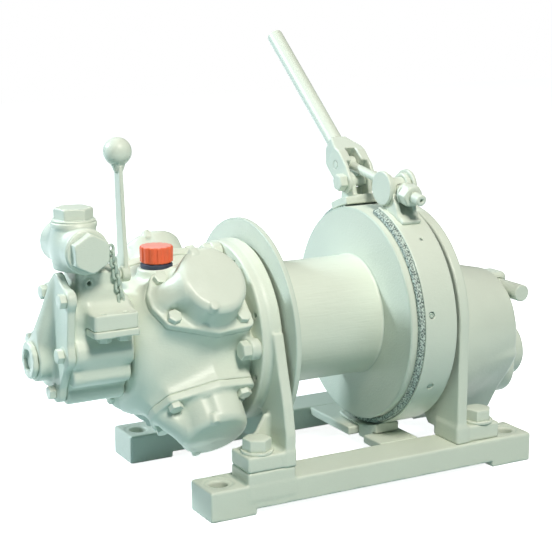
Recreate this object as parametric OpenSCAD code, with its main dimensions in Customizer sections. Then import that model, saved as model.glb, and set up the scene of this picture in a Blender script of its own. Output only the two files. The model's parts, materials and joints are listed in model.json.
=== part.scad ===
// Air winch: four-cylinder piston air motor, rope drum with a band brake and a gear case,
// on two base rails. X runs along the drum axis from the motor to the gear case, Y runs
// away from the operator and Z is up. The origin is the centre of the four anchor holes,
// on the underside of the rails.

/* [Base rails] */
// Length of a rail beyond the gear frame's foot
rail_end = 56; // [50:1:90]
// Width of a rail
rail_w = 66; // [60:1:80]
// Height of a rail
rail_h = 44.4; // [36:0.2:60]
// Distance between the centre lines of the two rails
rail_pitch = 280; // [270:1:300]
// Distance of an anchor hole from the end of its rail
anchor_end = 27; // [24:1:34]
// Diameter of an anchor hole
anchor_d = 26; // [18:1:30]
// Diameter of the machined spot face round an anchor hole
spot_d = 44; // [34:1:54]
// Depth of the spot face
spot_depth = 1; // [0.5:0.1:3]
// Height of the relief between the two end pads, on the underside
relief_h = 9; // [3:0.5:14]
// Length of an end pad
pad_len = 71; // [60:1:76]
// Height of the raised seat under the motor frame
seat_h = 17.6; // [6:0.2:30]

/* [Drum] */
// Height of the band's lowest point above the rails, which sets the drum axis
band_rise = 4.1; // [3:0.1:12]
// Radius of the rope barrel
barrel_r = 91.7; // [70:0.5:110]
// Wall of the rope barrel
barrel_wall = 12; // [8:0.5:20]
// Radius of the flange at the motor end
flange_r = 164; // [150:1:170]
// Thickness of the flange at the motor end
flange_t = 9; // [6:0.5:14]
// Rope length of the barrel, between the two flanges
rope_len = 182; // [160:1:186]
// Outer radius of the brake drum
brake_r = 165; // [160:1:168]
// Width of the brake drum
brake_w = 76; // [70:0.5:80]
// Diameter of the drum shaft
shaft_d = 50; // [36:1:60]

/* [Band brake] */
// Running gap between the brake drum and the lining
lining_gap = 0.6; // [0.4:0.1:1.5]
// Thickness of the woven lining
lining_t = 7.4; // [5:0.2:9]
// Width of the lining
lining_w = 63; // [56:0.5:64]
// Thickness of the steel band
band_t = 3; // [2:0.25:5]
// Width of the steel band
band_w = 50.5; // [44:0.5:54]
// Angle of the open gap of the band, from the rear ear to the front ear
band_open = 28; // [20:1:34]
// Diameter of a rivet hole in the band
rivet_d = 8; // [6:0.5:10]
// Number of pairs of rivet holes round the band
rivet_n = 9; // [6:1:12]

/* [Brake lever] */
// Height of the pivot bolt above the top of the band
pivot_over = 19.5; // [16:0.5:24]
// Distance of the lever pivot behind the drum axis
pivot_back = 60; // [56:1:66]
// Angle of the lever above the horizontal, brake on
lever_rise = 38.6; // [34:0.2:44]
// Length of the lever from its pivot to its tip
lever_len = 345; // [260:1:400]
// Outer diameter of the lever tube
lever_d = 26; // [20:0.5:32]
// Width of the fork at the foot of the lever
fork_w = 50; // [49:0.5:52]
// Width of the slot for the eye of the link rod
fork_slot = 18; // [16:0.5:19]
// Diameter of the pivot bolt
pivot_d = 16; // [12:0.5:20]
// Diameter of the pin that holds the link rod in the fork
link_pin_d = 12; // [10:0.5:14]
// Diameter of the link rod
rod_d = 14; // [10:0.5:15]
// Radius of the round ends of the trunnion
trunnion_r = 26; // [20:0.5:28]

/* [Motor frame] */
// Thickness of the ring along the axis
ring_t = 31; // [26:1:40]
// Thickness of the leg plate
leg_t = 16; // [12:1:20]
// Thickness of a foot
foot_t = 22.5; // [16:0.5:30]
// Length of a foot along the rail
foot_len = 75; // [60:1:80]
// Width of a foot across the rail
foot_w = 54; // [44:1:60]
// Reach of the foot's outer end beyond the side of the gear frame
foot_over = 7; // [2:1:10]

/* [Gear frame] */
// Room between the brake drum and the gear frame plate
plate_gap = 16.2; // [8:0.2:20]
// Radius of the round top of the gear frame
top_r = 166; // [160:1:170]
// Thickness of the gear frame plate
plate_t = 12; // [10:0.5:18]
// Thickness of its feet
gear_foot_t = 24.6; // [16:0.2:30]
// Length of its feet along the rail
gear_foot_len = 72; // [60:1:76]
// Half width of the arch between its feet
arch_r = 103; // [90:1:106]

/* [Foot bolts] */
// Thread size of the foot bolts
foot_bolt_d = 24; // [16:1:27]
// Washer diameter
foot_washer_d = 46; // [40:1:50]

/* [Motor] */
// Drop of the motor axis below the drum axis
motor_drop = 6; // [0:0.5:10]
// Radius of the round crankcase
case_r = 98; // [90:1:104]
// Length of the crankcase in front of the frame ring
case_len = 170; // [160:1:180]
// Distance of the outer face of a head flange beyond the crankcase radius
head_rise = 21; // [18:0.5:26]
// Thickness of a head flange
head_t = 12; // [8:0.5:16]
// Height of the cap of a head above its flange
dome_h = 46; // [38:0.5:50]
// Radius of the cap of a head
dome_r = 50; // [46:0.5:54]
// Thread size of the head bolts
head_bolt_d = 12; // [8:1:14]
// Distance of the motor mounting bolts beyond the crankcase radius
mount_rise = 21; // [20:0.5:26]
// Thread size of the mounting bolts
mount_bolt_d = 16; // [12:1:18]

/* [Valve chest] */
// Radius of the round valve chest
chest_r = 60; // [58:1:64]
// Length of the valve chest
chest_len = 88; // [80:1:96]
// Thickness of the end cover flange
cover_t = 12; // [8:0.5:16]
// Radius of the boss on the end cover
boss_r = 31; // [28:0.5:34]
// Thread size of the end cover bolts
cover_bolt_d = 12; // [8:1:14]
// Width of the exhaust block along the axis
block_w = 63; // [56:1:70]
// Height of the exhaust block
block_h = 20; // [16:0.5:26]
// Thickness of the plate under the exhaust block
block_plate_t = 10; // [6:0.5:14]

/* [Throttle valve] */
// Radius of the ports of the throttle valve body
port_r = 31; // [27:0.5:33]
// Distance of the port faces from the body's centre line
port_reach = 48; // [46:1:50]
// Size across corners of the hexagon of a plug
plug_hex = 55; // [46:0.5:58]
// Bore of the air inlet
inlet_d = 42; // [30:1:46]
// Length of the throttle lever above its hub
throttle_len = 190; // [160:1:220]
// Diameter of the ball knob
knob_d = 40; // [30:1:50]

/* [Gear case] */
// Drop of the gear case axis below the drum axis
gear_drop = 47; // [40:1:56]
// Radius of the gear case at the frame
gear_r1 = 124; // [116:1:130]
// Radius of the gear case at its outer end
gear_r2 = 92; // [80:1:100]
// Length of the gear case
gear_len = 150; // [120:1:160]

/* [Hidden] */
$fn = 64;

paint = [0.78, 0.84, 0.79];
lining_col = [0.55, 0.66, 0.62];
cap_col = [0.93, 0.42, 0.26];
ring_col = [0.20, 0.22, 0.28];

// Shared allowances: cut_over lengthens a cutter past the face it opens, seat is the paint
// gap between two pieces bolted together, bore_gap is the radial gap of a turning pin.
cut_over = 1;
seat = 0.1;
bore_gap = 0.05;

lining_r0 = brake_r + lining_gap;
lining_r1 = lining_r0 + lining_t;
band_r1 = lining_r1 + band_t;
axis_z = rail_h + band_rise + band_r1;
flange_x1 = -127.2;
flange_x0 = flange_x1 - flange_t;
brake_x0 = flange_x1 + rope_len;
brake_x1 = brake_x0 + brake_w;
frame_x1 = flange_x0 - 5.8;
frame_x0 = frame_x1 - ring_t;
plate_x0 = brake_x1 + plate_gap;
plate_x1 = plate_x0 + plate_t;
rail_len = 2 * (plate_x0 + gear_foot_len + rail_end);
anchor_pitch = rail_len - 2 * anchor_end;
motor_z = axis_z - motor_drop;
head_d = case_r + head_rise;
mount_r = case_r + mount_rise;
lug_t = 16;
lug_w = 30;
ring_r = mount_r + lug_w / 2;
foot_out = top_r + foot_over;
seat_top = rail_h + seat_h;
seat_x0 = frame_x1 - foot_len;
foot_bolt_x = seat_x0 + 25;
foot_bolt_y = foot_out - foot_washer_d / 2;
gear_bolt_x = plate_x0 + 46;
gear_bolt_y = top_r - 20;

// Places a shape drawn in the cross plane (across, up) so that it extrudes along X.
module along_x(x, y = 0, z = 0) {
    translate([x, y, z]) rotate([90, 0, 90]) children();
}

module disc_x(x0, x1, r, y = 0, z = axis_z) {
    along_x(x0, y, z) cylinder(r = r, h = x1 - x0, $fn = 96);
}

module cone_x(x0, x1, r0, r1, y = 0, z = axis_z) {
    along_x(x0, y, z) cylinder(r1 = r0, r2 = r1, h = x1 - x0, $fn = 96);
}

// A rectangle with round corners, centred.
module round_rect(l, w, r) {
    square([l - 2 * r, w], center = true);
    square([l, w - 2 * r], center = true);
    for (sx = [-1, 1], sy = [-1, 1]) translate([sx * (l / 2 - r), sy * (w / 2 - r)]) circle(r = r, $fn = 32);
}

// A convex outline with round corners, from the centres of the corners, counter-clockwise.
// The corner circles stand a hair proud of the straight sides.
corner_proud = 0.03;
module round_poly(pts, r) {
    n = len(pts);
    polygon([for (i = [0 : n - 1], e = [0, 1])
        let(d = pts[(i + 1) % n] - pts[i], out = [d[1], -d[0]] / norm(d)) pts[i] + e * d + r * out]);
    for (p = pts) translate(p) circle(r = r + corner_proud, $fn = 32);
}

// A hexagon head with a chamfered top, standing along Z.
module hex_head(thread, h) {
    flats_r = 0.75 * thread;
    intersection() {
        cylinder(r = flats_r / cos(30), h = h, $fn = 6);
        cylinder(r1 = flats_r + 1.7 * h, r2 = flats_r, h = h, $fn = 48);
    }
}

// A bolt with its head above Z = 0 and its shank below.
module hex_bolt(thread, head_h, shank) {
    hex_head(thread, head_h);
    translate([0, 0, -shank]) cylinder(d = thread, h = shank + cut_over);
}

rail_corner_r = 4;
module rail(side) {
    relief_len = rail_len - 2 * pad_len;
    difference() {
        translate([0, side * rail_pitch / 2, 0]) union() {
            linear_extrude(rail_h) round_rect(rail_len, rail_w, rail_corner_r);
            translate([seat_x0 + foot_len / 2, side * (foot_out - foot_w / 2 - rail_pitch / 2), rail_h - cut_over])
                linear_extrude(seat_h + cut_over) round_rect(foot_len, foot_w, rail_corner_r);
        }
        translate([-relief_len / 2, side * rail_pitch / 2 - rail_w, -cut_over])
            cube([relief_len, 2 * rail_w, relief_h + cut_over]);
        for (s = [-1, 1])
            translate([s * anchor_pitch / 2, side * rail_pitch / 2, -cut_over]) {
                cylinder(d = anchor_d, h = rail_h + 2 * cut_over);
                translate([0, 0, cut_over + rail_h - spot_depth]) cylinder(d = spot_d, h = 2 * spot_depth);
            }
    }
}

module rail_front() {
    color(paint) rail(-1);
}

module rail_back() {
    color(paint) rail(1);
}

cross_x0 = brake_x0 - 11.8;
cross_x1 = cross_x0 + 68;
cross_t = 13;
cross_half = (rail_pitch - rail_w) / 2 - seat;
anchor_y0 = -57;
anchor_y1 = -14;
anchor_x0 = brake_x0 + 5.2;
anchor_x1 = anchor_x0 + 42;
module cross_plate() {
    color(paint) difference() {
        translate([cross_x0, -cross_half, rail_h - cross_t])
            cube([cross_x1 - cross_x0, 2 * cross_half, cross_t]);
        translate([cross_x0 - cut_over, anchor_y0, rail_h - cross_t - cut_over])
            cube([anchor_x1 - cross_x0 + cut_over, anchor_y1 - anchor_y0, cross_t + 2 * cut_over]);
    }
}

frame_bore_r = shaft_d / 2 + bore_gap;
leg_z1 = axis_z - 36.5;
leg_z2 = seat_top + 87;
leg_z3 = seat_top + 46;
// Half of the flaring legs, drawn across and up.
module leg_outline() {
    difference() {
        union() {
            translate([0, axis_z]) circle(r = ring_r, $fn = 96);
            for (s = [-1, 1])
                polygon([[0, axis_z], [s * (ring_r + 3), axis_z + 23], [s * (foot_out - 19), leg_z1],
                         [s * (foot_out - 7), leg_z2], [s * (foot_out + 1), leg_z3], [s * foot_out, seat_top],
                         [s * 60, seat_top]]);
        }
        translate([-foot_out - 5, seat_top - 100]) square([2 * foot_out + 10, 100]);
        translate([0, seat_top]) circle(r = foot_out - foot_w - 2, $fn = 96);
    }
}

ring_hole_d = 7;
gusset_t = 7.5;
gusset_h = 102;
module motor_frame() {
    color(paint) difference() {
        union() {
            along_x(frame_x1 - leg_t) linear_extrude(leg_t) leg_outline();
            disc_x(frame_x0 + 3, frame_x1, ring_r);
            cone_x(frame_x0, frame_x0 + 3, ring_r - 3, ring_r);
            for (s = [-1, 1]) {
                translate([seat_x0 + foot_len / 2, s * (foot_out - foot_w / 2), seat_top])
                    linear_extrude(foot_t) round_rect(foot_len, foot_w, rail_corner_r);
                translate([seat_x0, s * (foot_out - foot_w + gusset_t / 2) + gusset_t / 2, seat_top])
                    rotate([90, 0, 0]) linear_extrude(gusset_t)
                    polygon([[10, foot_t - 1], [foot_len - leg_t + 1, foot_t - 1],
                             [foot_len - leg_t + 1, gusset_h], [foot_len - leg_t - 14, gusset_h],
                             [26, gusset_h - 58]]);
            }
        }
        disc_x(frame_x0 - cut_over, frame_x1 + cut_over, frame_bore_r);
        for (a = [22.5 : 45 : 337.5])
            translate([frame_x0 - cut_over, 0, axis_z]) rotate([a, 0, 0]) translate([0, -mount_r, 0])
                rotate([0, 90, 0]) cylinder(d = ring_hole_d, h = 9 + cut_over, $fn = 24);
        for (s = [-1, 1])
            translate([foot_bolt_x, s * foot_bolt_y, seat_top - cut_over])
                cylinder(d = foot_bolt_d + 2, h = foot_t + 2 * cut_over);
    }
}

gear_foot_w = 57;
arch_drop = 46;
arch_foot = 12;
module gear_frame() {
    color(paint) difference() {
        union() {
            disc_x(plate_x0, plate_x1, top_r);
            translate([plate_x0, -top_r, rail_h]) cube([plate_t, 2 * top_r, axis_z - rail_h]);
            for (s = [-1, 1])
                translate([plate_x0 + gear_foot_len / 2, s * (top_r - gear_foot_w / 2), rail_h])
                    linear_extrude(gear_foot_t) round_rect(gear_foot_len, gear_foot_w, 3);
        }
        disc_x(plate_x0 - cut_over, plate_x1 + cut_over, arch_r, 0, rail_h - arch_drop);
        translate([plate_x0 - cut_over, -arch_r, rail_h - arch_drop])
            cube([plate_t + 2 * cut_over, 2 * arch_r, arch_drop + arch_foot]);
        disc_x(plate_x0 - cut_over, plate_x1 + cut_over, frame_bore_r);
        for (s = [-1, 1])
            translate([gear_bolt_x, s * gear_bolt_y, rail_h - cut_over])
                cylinder(d = foot_bolt_d + 2, h = gear_foot_t + 2 * cut_over);
    }
}

washer_t = 4;
foot_head_h = 17;
module foot_bolt(top, grip) {
    translate([0, 0, top]) {
        cylinder(d = foot_washer_d, h = washer_t);
        translate([0, 0, washer_t - 0.01]) hex_head(foot_bolt_d, foot_head_h);
    }
    translate([0, 0, top - grip + seat]) cylinder(d = foot_bolt_d, h = grip);
}

module foot_bolts() {
    color(paint) for (s = [-1, 1]) {
        translate([foot_bolt_x, s * foot_bolt_y, 0]) foot_bolt(seat_top + foot_t, foot_t);
        translate([gear_bolt_x, s * gear_bolt_y, 0]) foot_bolt(rail_h + gear_foot_t, gear_foot_t);
    }
}

case_x0 = frame_x0 - case_len;
case_end_t = 14;
case_end_step = 10;
head_angles = [45, -45, -135, 135];
head_x = case_x0 + 99;

// Places its children on a head's centre line: local Z points out of the motor, local X
// stays along the motor axis. The angle is measured from the front horizontal, upwards.
module on_head(a) {
    translate([head_x, 0, motor_z]) rotate([90 - a, 0, 0]) children();
}

// Centre of a head's cap, and the bolts: two beside the cap and two beside the air passage.
cap_x = 6;
near_bolt = [cap_x + dome_r - 7, dome_r - 6];
far_bolt = [-dome_r - 3, dome_r - 18];
head_bolt_pts = [[far_bolt[0], -far_bolt[1]], [near_bolt[0], -near_bolt[1]], near_bolt, far_bolt];
head_corner_r = 13;
module head_outline() {
    round_poly(head_bolt_pts, head_corner_r);
}

breather_x = case_x0 + 65;
breather_y = -10;
breather_z = motor_z + case_r + 16;
breather_r = 28;
pad_root = 62;
module crankcase() {
    color(paint) difference() {
        union() {
            disc_x(case_x0 + case_end_t, frame_x0 - seat, case_r, 0, motor_z);
            cone_x(case_x0 + case_end_t - 6, case_x0 + case_end_t, case_r - case_end_step + 2, case_r, 0, motor_z);
            disc_x(case_x0, case_x0 + case_end_t, case_r - case_end_step, 0, motor_z);
            for (a = head_angles)
                on_head(a) translate([0, 0, pad_root]) linear_extrude(head_d - head_t - seat - pad_root)
                    head_outline();
            for (a = [0, 90, 180, 270])
                translate([frame_x0 - lug_t, 0, axis_z]) rotate([a, 0, 0])
                    translate([0, -mount_r - lug_w / 2, -lug_w / 2])
                    cube([lug_t - seat, mount_r - pad_root, lug_w]);
            translate([breather_x, breather_y, motor_z + pad_root])
                cylinder(r = breather_r, h = breather_z - motor_z - pad_root - seat);
        }
        disc_x(frame_x0 - lug_t - 6, frame_x0 + cut_over, shaft_d / 2 + 5);
        for (a = [0, 90, 180, 270])
            translate([frame_x0 - lug_t - cut_over, 0, axis_z]) rotate([a, 0, 0])
                translate([0, -mount_r, 0]) rotate([0, 90, 0])
                cylinder(d = mount_bolt_d + 1, h = lug_t + 2 * cut_over);
    }
}

lobe_r = 23;
lobe_x = far_bolt[0] + 15;
lobe_h = 20;
// The air passage beside the cap: an arched tunnel with a round nose.
module air_passage() {
    intersection() {
        translate([0, 0, 1]) linear_extrude(lobe_h + lobe_r) {
            translate([lobe_x, 0]) circle(r = lobe_r);
            translate([lobe_x, -lobe_r]) square([-lobe_x, 2 * lobe_r]);
        }
        translate([lobe_x - lobe_r - cut_over, 0, 0]) rotate([90, 0, 90])
            linear_extrude(lobe_r - lobe_x + 2 * cut_over) {
            translate([0, lobe_h]) circle(r = lobe_r - 0.5);
            translate([0.5 - lobe_r, 0]) square([2 * lobe_r - 1, lobe_h]);
        }
    }
}

// A cylinder head: flange, round cap with an air passage beside it, and a small plug boss.
module head(a) {
    z1 = head_t + dome_h;
    edge_h = 5;
    boss = [cap_x + 20, 0, z1 - 2];
    groove_r = 5;
    color(paint) on_head(a) translate([0, 0, head_d - head_t]) difference() {
        union() {
            linear_extrude(head_t) head_outline();
            translate([cap_x, 0, 0]) cylinder(r1 = dome_r, r2 = dome_r - 3, h = z1 - edge_h, $fn = 96);
            translate([cap_x, 0, z1 - edge_h])
                cylinder(r1 = dome_r - 3, r2 = dome_r - 9, h = edge_h, $fn = 96);
            air_passage();
            translate(boss) cylinder(r = 11, h = 5);
        }
        for (p = head_bolt_pts)
            translate([p[0], p[1], -cut_over]) cylinder(d = head_bolt_d + 1, h = head_t + 2 * cut_over);
        translate([cap_x - 16, -dome_r - 0.5, head_t + 6]) cylinder(r = groove_r, h = dome_h);
    }
}

module cylinder_head_1() {
    head(head_angles[0]);
}

module cylinder_head_2() {
    head(head_angles[1]);
}

module cylinder_head_3() {
    head(head_angles[2]);
}

module cylinder_head_4() {
    head(head_angles[3]);
}

module head_bolts() {
    color(paint) for (a = head_angles)
        on_head(a) for (p = head_bolt_pts)
            translate([p[0], p[1], head_d]) hex_bolt(head_bolt_d, 0.7 * head_bolt_d, head_t - seat);
}

module motor_mount_bolts() {
    color(paint) for (a = [0, 90, 180, 270])
        translate([frame_x0 - lug_t, 0, axis_z]) rotate([a, 0, 0]) translate([0, -mount_r, 0])
            rotate([0, -90, 0]) hex_bolt(mount_bolt_d, 0.75 * mount_bolt_d, lug_t - seat);
}

chest_x1 = case_x0 - seat;
chest_x0 = case_x0 - chest_len;
neck_x0 = chest_x0 + 11;
neck_x1 = chest_x0 + 75;
neck_y0 = -75;
neck_y1 = -6;
neck_z = motor_z + 130.5;
flare_z = motor_z + 81.5;
block_x0 = chest_x0 + 18;
block_y0 = -112;
block_y1 = -60;
plate_y1 = -77;
block_z = motor_z + 56.5;
// Centre and radius of each cast passage.
chest_lobes = [[-70, motor_z + 19.5, 18], [-58, motor_z - 14.5, 14], [-32, motor_z - 42.5, 14]];
exhaust_bolt_pts = [[block_x0 + 18, -96], [block_x0 + 47, -96]];
// The valve chest: a round body with cast passages along its front, the block of the
// exhaust opening and the neck that carries the throttle valve.
module valve_chest() {
    neck_w = neck_x1 - neck_x0;
    neck_l = neck_y1 - neck_y0;
    color(paint) difference() {
        union() {
            disc_x(chest_x0, chest_x1, chest_r, 0, motor_z);
            for (c = chest_lobes) disc_x(chest_x0, chest_x1 - 4, c[2], c[0], c[1]);
            translate([neck_x0 + neck_w / 2, neck_y0 + neck_l / 2, motor_z])
                linear_extrude(neck_z - motor_z) round_rect(neck_w, neck_l, 14);
            translate([chest_x0, neck_y0, motor_z]) cube([chest_x1 - chest_x0, neck_l, flare_z - motor_z]);
            translate([chest_x0, neck_y1, flare_z]) rotate([90, 0, 0]) linear_extrude(neck_l)
                polygon([[0, -1], [neck_x0 - chest_x0 + 6, 26], [neck_x1 - chest_x0 - 6, 26],
                         [chest_x1 - chest_x0, -1]]);
            translate([block_x0 + block_w / 2, (block_y0 + block_y1) / 2, block_z])
                linear_extrude(block_h) round_rect(block_w, block_y1 - block_y0, 6);
            translate([valve_x - 4, neck_y0 + 1, neck_z - 15]) rotate([90, 0, 0]) cylinder(r = 7, h = 3);
        }
        translate([valve_x - 4, neck_y0 + 6, neck_z - 15]) rotate([90, 0, 0])
            cylinder(r = 3, h = 12, $fn = 24);
    }
}

cover_bolt_pts = [[-12, motor_z + 97], [-84, motor_z + 98], [-68, motor_z + 19], [-31, motor_z - 41.5],
                  [50, motor_z + 15.5]];
// Corners of the end cover: centre and radius of each.
cover_corners = [[-43, 116.5, 10], [44, 9.5, 12], [14, -26.5, 16], [-31, -41.5, 14], [-70, 18.5, 16],
                 [-82, 97.5, 12]];
cover_face = chest_x0 - cover_t;
boss_len = 20;
// The end cover: a three-cornered plate with a round boss, a rib from the boss to the top
// corner and a small pad under each bolt.
module valve_end_cover() {
    color(paint) difference() {
        union() {
            along_x(cover_face, 0, 0) linear_extrude(cover_t - seat) union() {
                hull() for (c = cover_corners) translate([c[0], motor_z + c[1]]) circle(r = c[2], $fn = 32);
                for (p = cover_bolt_pts) translate(p) circle(r = 12, $fn = 32);
            }
            disc_x(cover_face - boss_len, cover_face + cut_over, boss_r, 0, motor_z);
            along_x(cover_face) hull() {
                translate([-30, motor_z + 107.5, 0]) cylinder(r = 6, h = 1, $fn = 24);
                translate([0, motor_z, -boss_len + 4]) cylinder(r = boss_r - 6, h = 1, $fn = 48);
                translate([0, motor_z, 0]) cylinder(r = boss_r + 3, h = 1, $fn = 48);
            }
            for (p = cover_bolt_pts) along_x(cover_face - 2, p[0], p[1]) cylinder(r = 11, h = 4, $fn = 32);
        }
        for (p = cover_bolt_pts)
            along_x(cover_face - 30, p[0], p[1]) cylinder(d = cover_bolt_d + 1, h = 60, $fn = 24);
        for (p = cover_bolt_pts)
            along_x(cover_face - 30, p[0], p[1]) cylinder(r = 10.8, h = 28, $fn = 32);
    }
}

module end_cover_bolts() {
    color(paint) for (p = cover_bolt_pts)
        translate([cover_face - 2, p[0], p[1]]) rotate([0, -90, 0])
            hex_bolt(cover_bolt_d, 0.7 * cover_bolt_d, cover_t + 2 - 2 * seat);
}

plug_r = 26;
module end_plug() {
    x1 = cover_face - boss_len - seat;
    color(paint) difference() {
        union() {
            disc_x(x1 - 5, x1, plug_r, 0, motor_z);
            cone_x(x1 - 8, x1 - 5, plug_r - 3, plug_r, 0, motor_z);
        }
        along_x(x1 - 10, 0, motor_z) cylinder(r = 17, h = 7, $fn = 6);
    }
}

module exhaust_plate() {
    w = block_w + 3;
    l = plate_y1 - block_y0;
    color(paint) translate([block_x0 + block_w / 2, block_y0 - 2 + l / 2, block_z - block_plate_t])
        linear_extrude(block_plate_t - seat) difference() {
            round_rect(w, l, 5);
            for (p = exhaust_bolt_pts)
                translate([p[0] - block_x0 - block_w / 2, p[1] - block_y0 + 2 - l / 2])
                    circle(d = cover_bolt_d + 1, $fn = 24);
        }
}

module exhaust_bolts() {
    color(paint) for (p = exhaust_bolt_pts)
        translate([p[0], p[1], block_z - block_plate_t]) rotate([180, 0, 0])
            hex_bolt(cover_bolt_d, 0.7 * cover_bolt_d, block_plate_t - 2 * seat);
}

valve_x = neck_x0 + 8;
valve_y = -40;
valve_z = neck_z + 31;
valve_top = neck_z + 66;
rear_reach = port_reach + 8;
// The throttle valve body: a cross of two round tubes, with a collar at each mouth.
module throttle_valve() {
    color(paint) difference() {
        union() {
            translate([valve_x, valve_y, neck_z + 9 + seat]) cylinder(r = port_r - 1, h = valve_top - neck_z - 9 - seat);
            translate([valve_x, valve_y, neck_z + seat]) cylinder(r1 = port_r - 9, r2 = port_r - 1, h = 9);
            translate([valve_x, valve_y, valve_top - 6]) cylinder(r = port_r + 0.5, h = 6 - seat);
            translate([valve_x, valve_y + rear_reach - 6, valve_z]) rotate([90, 0, 0])
                cylinder(r = port_r, h = rear_reach + port_reach - 6);
            translate([valve_x, valve_y + rear_reach, valve_z]) rotate([90, 0, 0])
                cylinder(r1 = port_r - 6, r2 = port_r, h = 6);
        }
        translate([valve_x, valve_y + rear_reach + cut_over, valve_z]) rotate([90, 0, 0])
            cylinder(d = inlet_d, h = 30);
    }
}

module hex_plug() {
    cylinder(r = port_r - 1, h = 3);
    intersection() {
        cylinder(d = plug_hex, h = 19, $fn = 6);
        cylinder(r1 = plug_hex / 2 + 26, r2 = plug_hex / 2 - 3, h = 19, $fn = 96);
    }
}

module top_plug() {
    color(paint) translate([valve_x, valve_y, valve_top]) rotate(12) hex_plug();
}

module front_plug() {
    color(paint) translate([valve_x, valve_y - port_reach - seat, valve_z]) rotate([90, 0, 0])
        rotate(28) hex_plug();
}

ring_h = 7;
cap_r = 22;
cap_h = 25;
module breather_ring() {
    color(ring_col) translate([breather_x, breather_y, breather_z]) cylinder(r = cap_r + 0.5, h = ring_h);
}

// The breather cap has upright ribs for the hand.
module breather_cap() {
    ribs = 16;
    color(cap_col) translate([breather_x, breather_y, breather_z + ring_h + seat]) union() {
        cylinder(r = cap_r, h = cap_h);
        for (i = [0 : ribs - 1]) rotate(i * 360 / ribs) translate([cap_r - 1, -2, 2]) cube([3, 4, cap_h - 4]);
    }
}

stem_y = -28;
stem_z = neck_z - 17;
stem_d = 14;
hub_r = 11;
hub_t = 12;
bar_t = 6;
throttle_lean = 5;
knob_z = throttle_len - knob_d / 2;
bar_x = neck_x1 + 15;
// The valve stem leaves the right side of the neck and carries the lever.
module throttle_stem() {
    color(paint) disc_x(neck_x1 + seat, bar_x - seat, stem_d / 2, stem_y, stem_z);
}

module on_throttle() {
    translate([bar_x, stem_y, stem_z]) rotate([-throttle_lean, 0, 0]) children();
}

module throttle_lever() {
    color(paint) union() {
        on_throttle() rotate([0, 90, 0]) cylinder(r = hub_r, h = hub_t);
        on_throttle() translate([3, 0, 0]) rotate([90, 0, 90]) linear_extrude(bar_t)
            polygon([[-10, 0], [-8, knob_z - knob_d / 2 + 1], [8, knob_z - knob_d / 2 + 1], [10, 0]]);
    }
}

module throttle_knob() {
    color(paint) on_throttle() translate([3 + bar_t / 2, 0, knob_z]) difference() {
        sphere(d = knob_d, $fn = 64);
        translate([-knob_d, -knob_d, -knob_d - knob_d / 2 + 1.1]) cube([2 * knob_d, 2 * knob_d, knob_d]);
    }
}

link_wire = 2.6;
link_w = 9;
link_l = 14;
link_n = 9;
chain_top = [valve_x + 36.4, neck_y0 - 5, valve_z - 1];
chain_step = [1.6, 0, -8.6];
// One flat chain link, long along Z.
module chain_link() {
    rotate([90, 0, 0]) translate([0, 0, -link_wire / 2]) linear_extrude(link_wire) difference() {
        stadium(link_w / 2, link_l - link_w);
        stadium(link_w / 2 - link_wire, link_l - link_w);
    }
}

module stadium(r, l) {
    for (s = [-1, 1]) translate([0, s * l / 2]) circle(r = r, $fn = 24);
    square([2 * r, l], center = true);
}

module keeper_chain() {
    color(paint) for (i = [0 : link_n - 1])
        translate(chain_top + i * chain_step) rotate([0, 0, 90 * (i % 2)]) chain_link();
}

barrel_flare = 4;
module rope_barrel() {
    color(paint) difference() {
        union() {
            disc_x(flange_x1 + seat, brake_x0 - seat, barrel_r);
            cone_x(brake_x0 - barrel_flare, brake_x0 - seat, barrel_r, barrel_r + barrel_flare);
            cone_x(flange_x1 + seat, flange_x1 + 6, barrel_r + 6, barrel_r);
        }
        disc_x(flange_x1 - cut_over, brake_x0 + cut_over, barrel_r - barrel_wall);
    }
}

module drum_flange() {
    color(paint) difference() {
        union() {
            disc_x(flange_x0 + 1.5, flange_x1 - 1.5, flange_r);
            cone_x(flange_x0, flange_x0 + 1.5, flange_r - 1.5, flange_r);
            cone_x(flange_x1 - 1.5, flange_x1, flange_r, flange_r - 1.5);
        }
        disc_x(flange_x0 - cut_over, flange_x1 + cut_over, shaft_d / 2 + seat);
    }
}

drum_web = 12;
module brake_drum() {
    color(paint) difference() {
        union() {
            cone_x(brake_x0, brake_x0 + 2, brake_r - 2, brake_r);
            disc_x(brake_x0 + 2, brake_x1, brake_r);
        }
        disc_x(brake_x0 + drum_web, brake_x1 + cut_over, brake_r - drum_web);
        disc_x(brake_x0 - cut_over, brake_x1 + cut_over, shaft_d / 2 + seat);
    }
}

module drum_shaft() {
    color(paint) disc_x(frame_x0 + 2, plate_x1 - 1, shaft_d / 2);
}

lining_x0 = brake_x0 + 11.2;
band_x0 = lining_x0 + 8;
gap_centre = 90;
// A curved strip round the drum axis, open at the top. Angles run from the front, upwards.
module band_strip(x0, w, r0, r1, a0, a1) {
    along_x(x0, 0, axis_z) rotate(180 - a1)
        rotate_extrude(angle = a1 - a0, $fn = 128) translate([r0, 0]) square([r1 - r0, w]);
}

module brake_lining() {
    color(lining_col) band_strip(lining_x0, lining_w, lining_r0, lining_r1,
                                 gap_centre + band_open / 2 - 360, gap_centre - band_open / 2);
}

rivet_rows = [27.8, 11.2, 24.4];
rivet_a = [48, 9.4, -29.1, -68, -107, -146, -185, -224];
module brake_band() {
    color(paint) difference() {
        band_strip(band_x0, band_w, lining_r1 + seat, band_r1,
                   gap_centre + band_open / 2 - 360, gap_centre - band_open / 2);
        for (i = [0 : len(rivet_a) - 1])
            translate([band_x0 + rivet_rows[i % 3], 0, axis_z]) rotate([90 - rivet_a[i], 0, 0])
                cylinder(d = rivet_d, h = band_r1 + 5, $fn = 24);
    }
}

band_x1 = band_x0 + band_w;
ear_x = band_x0 + 26.5;
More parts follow.
